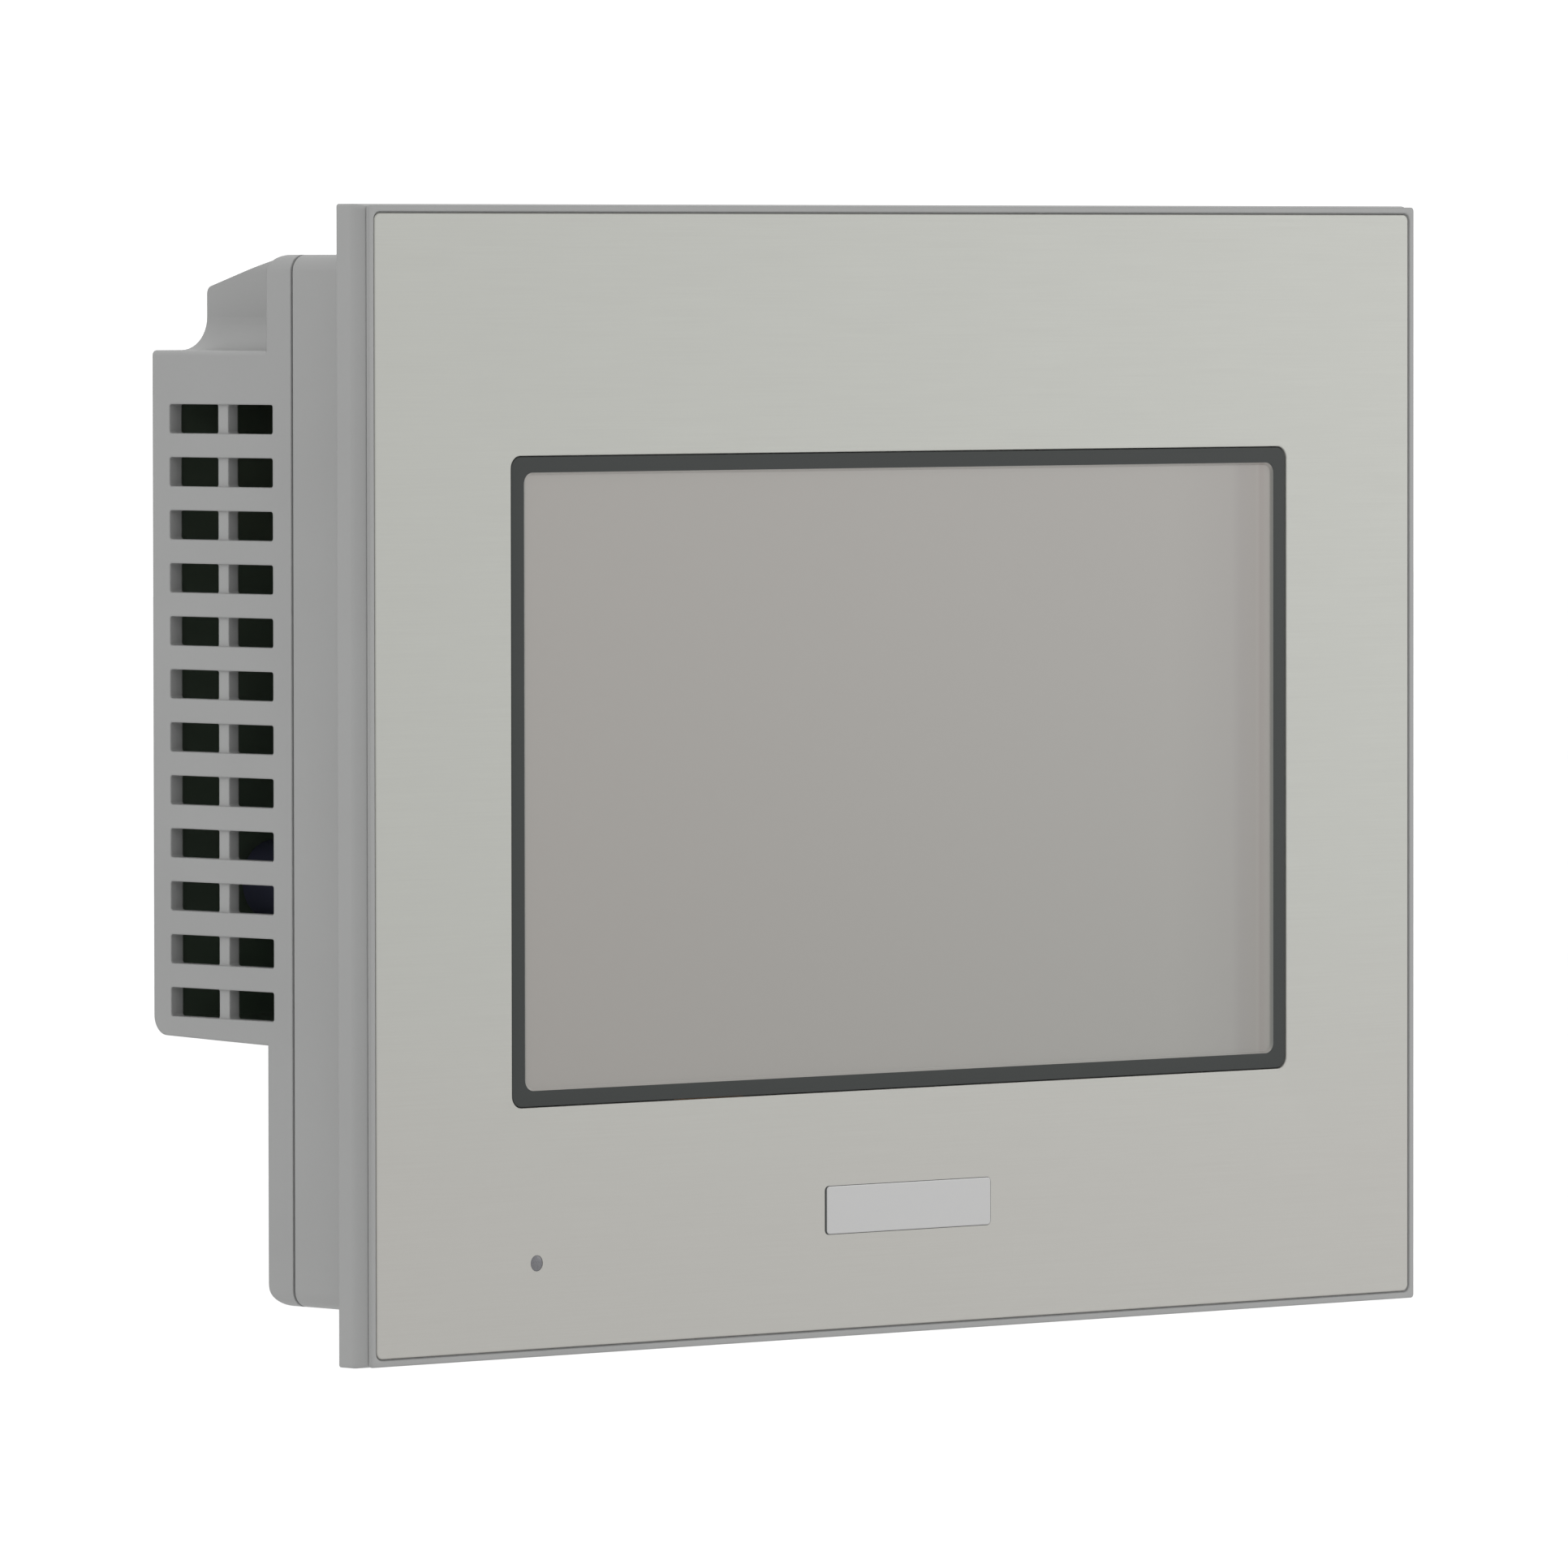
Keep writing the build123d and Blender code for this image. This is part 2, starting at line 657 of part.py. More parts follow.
def lan_jack():
    """The network socket, with its latch notch."""
    base = BOARD_REAR
    body = block(about(LAN_X, 16.0), (base, base + 13.4), (PORT_FACE, PORT_FACE + 21.0))
    body -= block(about(LAN_X, 11.8), (base + 2.2, base + 9.0), (PORT_FACE, PORT_FACE + 13.0))
    notch = block(about(LAN_X, 4.2), (base + 9.0, base + 11.6), (PORT_FACE, PORT_FACE + 8.0))
    return body - notch


def usb_ports():
    """Two stacked USB sockets in one metal shell, with their tongues."""
    face = PORT_FACE
    body = block(about(USB_X, 14.6), (BOARD_REAR, BOARD_REAR + 15.6), (face, face + 17.0))
    for level in (4.2, 11.4):
        mid = BOARD_REAR + level
        body -= block(about(USB_X, 12.6), about(mid, 5.2), (face, face + 11.0))
        body += block(about(USB_X, 11.0), about(mid + 0.9, 1.8), (face + 1.0, face + 12.0))
    return body


def d_bar(z_span, shrink):
    """A D-shaped bar as large as the serial connector's shell, or smaller on every side."""
    half = SERIAL_SHELL[0] / 2 - shrink
    tall = SERIAL_SHELL[1] / 2 - shrink
    lean = 1.4
    points = [(-half, tall), (half, tall), (half - lean, -tall), (lean - half, -tall)]
    face = make_face(FilletPolyline(points, radius=[2.0 - shrink] * 4, close=True))
    return Pos(SERIAL_X, SERIAL_Y, z_span[0]) * extrude(face, amount=z_span[1] - z_span[0])


def serial_port():
    """A nine-pin serial connector with its flange outside the case."""
    shell_z = (SERIAL_TIP, SERIAL_FLANGE[0])
    port = block(about(SERIAL_X, 30.8), about(SERIAL_Y, 12.5), SERIAL_FLANGE)
    port += block(about(SERIAL_X, 19.0), about(SERIAL_Y, 10.4), (SERIAL_FLANGE[1], -28.0))
    port += d_bar(shell_z, 0.0) - d_bar(shell_z, 0.5)
    for row, count in ((1.42, 5), (-1.42, 4)):
        for number in range(count):
            x = SERIAL_X + (number - (count - 1) / 2) * 2.77
            port += rod_z(0.5, (SERIAL_TIP + 0.6, SERIAL_FLANGE[0]), x, SERIAL_Y + row)
    for side in (-1, 1):
        x = SERIAL_X + side * JACK_SPACING / 2
        port -= rod_z(1.6, SERIAL_FLANGE, x, SERIAL_Y)
    return port


def jack_screws():
    """Two hexagonal jack screws with threaded bores for the cable's screws."""
    screws = []
    for side in (-1, 1):
        x = SERIAL_X + side * JACK_SPACING / 2
        screw = hex_z(4.8, (SERIAL_TIP, SERIAL_FLANGE[0]), x, SERIAL_Y)
        screw += rod_z(1.55, (SERIAL_FLANGE[0], -33.0), x, SERIAL_Y)
        screws.append(screw - rod_z(JACK_BORE, (SERIAL_TIP, SERIAL_TIP + 5.0), x, SERIAL_Y))
    return group(screws)


def power_header():
    """The socket on the power board that the plug pushes into."""
    y_span = (BOARD_REAR, BOARD_REAR + HEADER_HEIGHT)
    body = block(about(PLUG_X, HEADER_WIDTH), y_span, (PORT_FACE, PORT_FACE + HEADER_DEPTH))
    body -= block(
        about(PLUG_X, PLUG_BODY[0] + 0.6),
        about(PLUG_Y, PLUG_BODY[1] + 0.6),
        (PORT_FACE, PLUG_TOP + 0.4),
    )
    for number in range(PLUG_POLES):
        x = PLUG_X + (number - 1) * PLUG_PITCH
        body += block(about(x, 1.0), about(PLUG_Y, 1.0), (PORT_FACE + 1.5, PLUG_TOP + 0.6))
    return body


def power_plug():
    """The removable screw-terminal plug for the supply wires."""
    x_span = about(PLUG_X, PLUG_BODY[0])
    y_span = about(PLUG_Y, PLUG_BODY[1])
    body = block(x_span, y_span, (PLUG_BOTTOM, PLUG_TOP))
    for number in range(PLUG_POLES):
        x = PLUG_X + (number - 1) * PLUG_PITCH
        body -= block(about(x, 1.4), about(PLUG_Y, 1.4), (PLUG_TOP - 9.0, PLUG_TOP))
        body -= block(about(x, 4.4), about(PLUG_Y - 1.6, 4.4), (PLUG_BOTTOM, PLUG_BOTTOM + 8.0))
        body -= rod_y(2.0, (PLUG_Y + 1.2, y_span[1]), x, PLUG_SCREW_Z)
    for side in (-1, 1):
        groove_x = about(PLUG_X + side * PLUG_BODY[0] / 2, 0.8)
        body -= block(groove_x, y_span, (PLUG_BOTTOM + 3.0, PLUG_BOTTOM + 7.0))
    return body


def plug_screws():
    """The three terminal screws in the plug."""
    screws = []
    for number in range(PLUG_POLES):
        x = PLUG_X + (number - 1) * PLUG_PITCH
        screw = rod_y(1.9, (PLUG_Y + 1.4, PLUG_Y + 4.0), x, PLUG_SCREW_Z)
        slot = block(about(x, 3.4), (PLUG_Y + 3.3, PLUG_Y + 4.0), about(PLUG_SCREW_Z, 0.6))
        screws.append(screw - slot)
    return group(screws)


# ---- Card bay


def card_slot():
    """The metal cage that takes the memory card, open to the right."""
    cage = block(CARD_X, CARD_Y, CARD_Z)
    mouth_y = (CARD_Y[0] + 0.6, CARD_Y[1] - 0.6)
    mouth_z = (CARD_Z[0] + 0.8, CARD_Z[1] - 0.8)
    cage -= block((CARD_X[0] + 6.0, CARD_X[1]), mouth_y, mouth_z)
    foot_z = (CARD_Z[0] + 3, CARD_Z[1] - 3)
    return cage + block((CARD_X[0] + 3, CARD_X[0] + 30), (BOARD_REAR, CARD_Y[0]), foot_z)


def eject_button():
    """The push bar that ejects the card, with its finger tip."""
    y_span = about(EJECT_Y, EJECT_SIZE - 1.4)
    bar = block((CARD_X[0] + 10, CARD_X[1] - 2), y_span, about(EJECT_Z, EJECT_SIZE - 1.4))
    tip_x = (CARD_X[1] - 2, EJECT_TIP)
    return bar + block(tip_x, about(EJECT_Y, EJECT_SIZE), about(EJECT_Z, EJECT_SIZE))


def dip_body():
    """The housing of the four setting switches."""
    body = block(DIP_X, (BOARD_REAR, BOARD_REAR + DIP_HEIGHT), DIP_Z)
    slot_y = about(BOARD_REAR + DIP_HEIGHT / 2, DIP_KNOB + DIP_TRAVEL + 0.4)
    for number in range(DIP_COUNT):
        body -= block((DIP_X[1] - 2.0, DIP_X[1]), slot_y, about(dip_z(number), DIP_KNOB + 0.3))
    return body


def dip_z(number):
    """The height of one setting switch."""
    middle = (DIP_Z[0] + DIP_Z[1]) / 2
    return middle + (number - (DIP_COUNT - 1) / 2) * DIP_PITCH


def dip_slider(number):
    """One setting switch's knob, at the end of its travel near the board."""
    low = BOARD_REAR + (DIP_HEIGHT - DIP_KNOB - DIP_TRAVEL) / 2
    x_span = (DIP_X[1] - 1.8, DIP_X[1] + 0.9)
    return block(x_span, (low, low + DIP_KNOB), about(dip_z(number), DIP_KNOB))


def card_door():
    """The door over the card bay, rounded along its hinge."""
    outer = BODY_WIDTH / 2
    z_span = (DOOR_Z[0] + DOOR_GAP, DOOR_Z[1] - DOOR_GAP)
    door = block((outer - DOOR_THICK, outer), (DOOR_Y[0] + DOOR_GAP, HINGE_Y), z_span)
    door += rod_z(HINGE_RADIUS, z_span, HINGE_X, HINGE_Y)
    for number in range(5):
        y = DOOR_Y[0] + 2.0 + number * 1.0
        door -= block((outer - 0.35, outer), about(y, 0.5), (-9.0, 9.0))
    return door - rod_z(HINGE_PIN + PIN_CLEARANCE, z_span, HINGE_X, HINGE_Y)


def door_pin():
    """The steel hinge pin, held at both ends in the rear cover."""
    return rod_z(HINGE_PIN, (DOOR_Z[0] - 2.0, DOOR_Z[1] + 2.0), HINGE_X, HINGE_Y)


# ---- Rear cover


def rear_volume(inset):
    """The rear cover's outer shape, or its hollow when inset by the wall."""
    half_width = BODY_WIDTH / 2 - inset
    half_height = BODY_HEIGHT / 2 - inset
    rim_back = RIM_Y - inset
    rim_corner = BODY_CORNER - min(inset, 1.5)
    rim = slab(2 * half_width, 2 * half_height, rim_corner, (JOINT_Y, rim_back))
    rim_side = [
        (JOINT_Y, -half_height),
        (rim_back, -half_height),
        (rim_back, half_height),
        (JOINT_Y, half_height),
    ]
    heel = min(RIM_BOTTOM_RADIUS - min(inset, 1.5), rim_back - JOINT_Y - 0.1)
    crown = RIM_TOP_RADIUS - min(inset, 1.5)
    rim &= side_outline(rim_side, [0.0, heel, crown, 0.0], half_width)
    shoulder = BLOCK_HALF_WIDTH - inset
    wing_top = WING_TOP - inset
    top = BLOCK_TOP - inset
    bottom = WING_BOTTOM + inset
    right = [(half_width, bottom), (half_width, wing_top), (shoulder, wing_top), (shoulder, top)]
    left = [(-x, z) for x, z in reversed(right)]
    small = max(0.8 - inset, 0.4)
    inner_fillet = BLOCK_FILLET + min(inset, 2.0)
    block_corner = max(2.5 - inset, 0.6)
    half_radii = [small, small, inner_fillet, block_corner]
    deep = front_outline(right + left, half_radii + half_radii[::-1], (JOINT_Y, REAR_Y - inset))
    back = REAR_Y - inset
    side = [
        (JOINT_Y, bottom),
        (back, WING_BOTTOM_REAR + inset),
        (back, SLOPE_END_Z - inset),
        (SLOPE_START_Y - inset * 0.3, top),
        (JOINT_Y, top),
    ]
    lower_edge = max(3.0 - inset, 0.6)
    edges = [0.0, lower_edge, lower_edge * 0.4, 1.0, 0.0]
    return rim + (deep & side_outline(side, edges, half_width))


def side_slot(face, depth, y_span, z):
    """A rounded slot across the width, as deep on both sides of the face."""
    flat = RectangleRounded(y_span[1] - y_span[0], VENT_HEIGHT, VENT_CORNER)
    bar = Plane.YZ * extrude(flat, amount=2 * depth)
    return Pos(face - depth, (y_span[0] + y_span[1]) / 2, z) * bar


def vent_row(side, z):
    """One vent: a shallow pocket with two slots through the wall behind it."""
    face = side * BODY_WIDTH / 2
    rib = about(VENT_RIB_Y, VENT_RIB_WIDTH)
    vent = side_slot(face, VENT_RIB_SINK, (VENT_FRONT_Y, VENT_REAR_Y), z)
    vent += side_slot(face, WALL + 0.2, (VENT_FRONT_Y, rib[0]), z)
    return vent + side_slot(face, WALL + 0.2, (rib[1], VENT_REAR_Y), z)


def rear_cover():
    """The grey rear cover with its vents, port openings and card bay."""
    cover = rear_volume(0.0) - rear_volume(WALL)
    for x, z in COVER_SCREWS:
        cover += rod_y(BOSS_RADIUS, (JOINT_Y, RIM_Y - WALL), x, z)
        cover -= rod_y(SCREW_HOLE, (JOINT_Y, RIM_Y), x, z)
        cover -= rod_y(3.3, (RIM_Y - 1.2, RIM_Y), x, z)
    for x in (-50.0, 50.0):
        for side in (-1, 1):
            lip_z = side * (BODY_HEIGHT / 2 - WALL - 0.8)
            root_z = side * (BODY_HEIGHT / 2 - 2.0)
            cover += block(about(x, 30.0), (JOINT_Y - 2.5, JOINT_Y + 2.0), about(lip_z, 1.2))
            cover += block(about(x, 30.0), (JOINT_Y, JOINT_Y + 2.0), about(root_z, 2.0))
    for number in range(VENT_ROWS):
        z = VENT_TOP_ROW - number * VENT_PITCH
        cover -= vent_row(-1, z)
        if z - VENT_HEIGHT / 2 > DOOR_Z[1] + 2:
            cover -= vent_row(1, z)
    for number in range(TOP_SLOTS):
        x = (number - (TOP_SLOTS - 1) / 2) * TOP_SLOT_PITCH
        cover -= block(about(x, TOP_SLOT_WIDTH), TOP_SLOT_Y, about(BLOCK_TOP, 3 * WALL))
    cover -= port_openings()
    cover -= card_bay_opening()
    lid_x = about(LID_CENTRE[0], LID_SIZE[0] - 8.0)
    lid_z = about(LID_CENTRE[1], LID_SIZE[1] - 6.0)
    cover -= block(lid_x, (REAR_Y - WALL - 1, REAR_Y), lid_z)
    cover -= slab(LID_SIZE[0], LID_SIZE[1], 1.5, (REAR_Y - LID_THICK, REAR_Y), *LID_CENTRE)
    for x, z in lid_screw_places():
        cover += rod_y(2.6, (REAR_Y - 6.0, REAR_Y - LID_THICK), x, z)
        cover -= rod_y(1.0, (REAR_Y - 6.0, REAR_Y - LID_THICK), x, z)
    recess = (LABEL_SIZE[0] + 0.4, LABEL_SIZE[1] + 0.4)
    return cover - slab(*recess, 1.5, (REAR_Y - 0.3, REAR_Y), *LABEL_CENTRE)


def port_openings():
    """The openings in the floor of the deep box, one for each port."""
    floor = (WING_BOTTOM - 1.0, BOARD_BOTTOM + 1.5)
    near = BOARD_REAR - 0.2
    holes = block(about(LAN_X, 16.4), (near, BOARD_REAR + 13.6), floor)
    holes += block(about(USB_X, 15.0), (near, BOARD_REAR + 15.8), floor)
    holes += block(about(SERIAL_X, 19.6), about(SERIAL_Y, 11.0), floor)
    header_y = (near, BOARD_REAR + HEADER_HEIGHT + 0.2)
    holes += block(about(PLUG_X, HEADER_WIDTH + 0.4), header_y, floor)
    for side in (-1, 1):
        holes += rod_z(SCREW_HOLE, floor, SERIAL_X + side * JACK_SPACING / 2, SERIAL_Y)
    pad = block(about(SERIAL_X, 31.4), about(SERIAL_Y, 13.0), (WING_BOTTOM - 1.0, SERIAL_FLANGE[1]))
    return holes + pad


def card_bay_opening():
    """The stepped opening for the door, with room for its hinge."""
    outer = BODY_WIDTH / 2
    step_x = (outer - DOOR_THICK - 0.1, outer + 1.0)
    opening = block(step_x, (DOOR_Y[0], DOOR_Y[1] + DOOR_SWING_ROOM), DOOR_Z)
    inner_y = (DOOR_Y[0] + 1.2, HINGE_Y - HINGE_RADIUS - 1.0)
    opening += block((outer - WALL - 1.0, outer), inner_y, (DOOR_Z[0] + 1.2, DOOR_Z[1] - 1.2))
    opening += rod_z(HINGE_RADIUS + DOOR_GAP, DOOR_Z, HINGE_X, HINGE_Y)
    return opening + rod_z(HINGE_PIN, (DOOR_Z[0] - 2.0, DOOR_Z[1] + 2.0), HINGE_X, HINGE_Y)


def cover_screws():
    """Four screws that hold the rear cover to the bezel."""
    head_y = RIM_Y - 1.2
    return group([pan_head_screw(x, z, head_y, 14.0, 1.23, 2.8, 1.9) for x, z in COVER_SCREWS])


def lid_screw_places():
    """The two screw places of the expansion lid."""
    reach = LID_SIZE[0] / 2 - 3.4
    return [(LID_CENTRE[0] - reach, LID_CENTRE[1]), (LID_CENTRE[0] + reach, LID_CENTRE[1])]


def expansion_lid():
    """The flat lid over the expansion socket."""
    span = (REAR_Y - LID_THICK, REAR_Y)
    lid = slab(LID_SIZE[0] - 0.4, LID_SIZE[1] - 0.4, 1.3, span, *LID_CENTRE)
    for x, z in lid_screw_places():
        lid -= rod_y(1.2, span, x, z)
        lid -= rod_y(2.4, (REAR_Y - 0.9, REAR_Y), x, z)
    return lid


def lid_screws():
    """The lid's two small screws."""
    head_y = REAR_Y - 0.9
    return group([pan_head_screw(x, z, head_y, 4.6, 0.98, 2.2, 0.9) for x, z in lid_screw_places()])


def rating_label():
    """A blank label in a shallow recess."""
    span = (REAR_Y - 0.3, REAR_Y - 0.3 + LABEL_THICK)
    return slab(LABEL_SIZE[0], LABEL_SIZE[1], 1.3, span, *LABEL_CENTRE)


PIECES = {
    "front_bezel": front_bezel,
    "face_plate": face_plate,
    "badge_plate": badge_plate,
    "status_window": status_window,
    "panel_gasket": panel_gasket,
    "screen_border": screen_border,
    "touch_film": touch_film,
    "touch_glass": touch_glass,
    "touch_gasket": touch_gasket,
    "touch_tail": touch_tail,
    "lcd_frame": lcd_frame,
    "lcd_panel": lcd_panel,
    "light_guide": light_guide,
    "lcd_tray": lcd_tray,
    "lcd_cable": lcd_cable,
    "display_chassis": display_chassis,
    "chassis_screws": chassis_screws,
    "board_pillars": board_pillars,
    "board_screws": board_screws,
    "processor_chip": processor_chip,
    "heat_sink": heat_sink,
    "memory_chips": memory_chips,
    "board_capacitors": board_capacitors,
    "board_inductors": board_inductors,
    "cell_holder": cell_holder,
    "clock_cell": clock_cell,
    "buzzer": buzzer,
    "expansion_socket": expansion_socket,
    "power_transformer": power_transformer,
    "power_capacitors": power_capacitors,
    "power_choke": power_choke,
    "power_link": power_link,
    "driver_board": driver_board,
    "driver_chips": driver_chips,
    "driver_sockets": driver_sockets,
    "driver_cable": driver_cable,
    "status_lamp": status_lamp,
    "lan_jack": lan_jack,
    "usb_ports": usb_ports,
    "serial_port": serial_port,
    "jack_screws": jack_screws,
    "power_header": power_header,
    "power_plug": power_plug,
    "plug_screws": plug_screws,
    "card_slot": card_slot,
    "eject_button": eject_button,
    "dip_body": dip_body,
    "card_door": card_door,
    "door_pin": door_pin,
    "rear_cover": rear_cover,
    "cover_screws": cover_screws,
    "expansion_lid": expansion_lid,
    "lid_screws": lid_screws,
    "rating_label": rating_label,
}

os.makedirs("parts", exist_ok=True)
for name, make in PIECES.items():
    export_step(make(), f"parts/{name}.step")
for number in range(DIP_COUNT):
    export_step(dip_slider(number), f"parts/dip_slider_{number + 1}.step")
export_step(circuit_board(MAIN_BOARD_X), "parts/main_board.step")
export_step(circuit_board(POWER_BOARD_X), "parts/power_board.step")
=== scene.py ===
import json
from math import cos, pi, radians, sin

import bmesh
import bpy
from mathutils import Matrix, Vector


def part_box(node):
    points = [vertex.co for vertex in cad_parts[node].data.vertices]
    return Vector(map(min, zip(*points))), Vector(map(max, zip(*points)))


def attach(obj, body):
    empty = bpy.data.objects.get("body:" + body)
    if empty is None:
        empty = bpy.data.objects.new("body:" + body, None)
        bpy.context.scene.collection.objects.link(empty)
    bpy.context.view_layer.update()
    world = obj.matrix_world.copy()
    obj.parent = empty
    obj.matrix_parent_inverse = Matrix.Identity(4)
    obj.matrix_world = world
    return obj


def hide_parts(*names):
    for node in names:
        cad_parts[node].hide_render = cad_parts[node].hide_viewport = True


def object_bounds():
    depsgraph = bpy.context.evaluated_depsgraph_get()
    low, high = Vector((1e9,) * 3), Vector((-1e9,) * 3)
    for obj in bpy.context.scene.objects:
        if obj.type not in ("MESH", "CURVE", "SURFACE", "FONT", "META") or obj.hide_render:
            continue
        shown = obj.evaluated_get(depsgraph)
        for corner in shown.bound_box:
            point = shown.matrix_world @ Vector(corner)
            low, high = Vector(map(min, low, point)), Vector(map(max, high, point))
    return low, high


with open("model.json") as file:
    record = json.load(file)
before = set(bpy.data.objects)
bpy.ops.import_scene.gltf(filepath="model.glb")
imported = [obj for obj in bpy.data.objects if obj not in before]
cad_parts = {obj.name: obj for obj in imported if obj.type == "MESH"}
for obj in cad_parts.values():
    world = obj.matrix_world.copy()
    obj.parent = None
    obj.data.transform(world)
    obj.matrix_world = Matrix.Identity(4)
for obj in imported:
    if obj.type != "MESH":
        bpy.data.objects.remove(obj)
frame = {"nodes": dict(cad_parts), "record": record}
NODES = frame["nodes"]
RECORD = frame["record"]
CAD_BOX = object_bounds()
MM = 0.001

# ---------------------------------------------------------------- camera

# A long lens from the front left, a little above the middle of the panel
VIEW_YAW = radians(42.105)
VIEW_PITCH = radians(2.034)
VIEW_ROLL = radians(-0.077)
VIEW_DISTANCE = 2.2305
VIEW_OFFSET = (0.01473, 0.00233)
LENS_MM = 334.4


def add_camera():
    """The camera, which looks along the yaw and pitch above."""
    ahead = Vector((sin(VIEW_YAW) * cos(VIEW_PITCH), cos(VIEW_YAW) * cos(VIEW_PITCH), -sin(VIEW_PITCH)))
    level = Vector((cos(VIEW_YAW), -sin(VIEW_YAW), 0.0))
    upright = level.cross(ahead)
    right = level * cos(VIEW_ROLL) + upright * sin(VIEW_ROLL)
    up = upright * cos(VIEW_ROLL) - level * sin(VIEW_ROLL)
    data = bpy.data.cameras.new("camera")
    data.lens = LENS_MM
    camera = bpy.data.objects.new("camera", data)
    bpy.context.scene.collection.objects.link(camera)
    turn = Matrix((right, up, -ahead)).transposed().to_4x4()
    place = -right * VIEW_OFFSET[0] - up * VIEW_OFFSET[1] - ahead * VIEW_DISTANCE
    camera.matrix_world = Matrix.Translation(place) @ turn
    bpy.context.scene.camera = camera


add_camera()

# ---------------------------------------------------------------- sizes, in mm


def span(node):
    """Width, height, front and back of a CAD node."""
    low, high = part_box(node)
    return (high.x - low.x) / MM, (high.z - low.z) / MM, low.y / MM, high.y / MM


FLANGE_W, FLANGE_H, FLANGE_FRONT = span("front_bezel")[:3]
PLATE_W, PLATE_H, PLATE_FRONT, PLATE_BACK = span("face_plate")
SCREEN_W, SCREEN_H, SCREEN_FRONT, BORDER_BACK = span("screen_border")
SEAL_W, SEAL_H, SEAL_FRONT = span("panel_gasket")[:3]
COVER_W, COVER_H = span("rear_cover")[:2]

# Rounded rectangles, as width, height and corner radius
SCREEN_CORNER = 1.8
WINDOW = (SCREEN_W - 5.2, SCREEN_H - 4.9, 1.6)
SHEET = (PLATE_W + 0.20, PLATE_H + 0.10, 1.1)
SEAT = (PLATE_W + 0.54, PLATE_H + 0.48, 1.2)

# The lip stands in from the flange's outline, and a narrow gap runs round the sheet inside it
LIP_INSET = 0.68
GAP_DEPTH = 0.33
# The ledge behind the screen
LEDGE_FRONT = -3.45
LEDGE_BACK = -1.45
# The tub's wall, and the groove where the tub meets the cover
WALL = 2.4
JOINT_Y = 19.65
JOINT_GAP = 0.38
JOINT_DEPTH = 1.8
# The slots for the door clamps, in the top and bottom of the tub
CLAMP_X = 60.0
CLAMP_W = 14.0
CLAMP_Y = (9.0, 15.0)
# The status lamp
LAMP_RADIUS = 1.20
LAMP_HOLE = 1.21

# ---------------------------------------------------------------- shader building


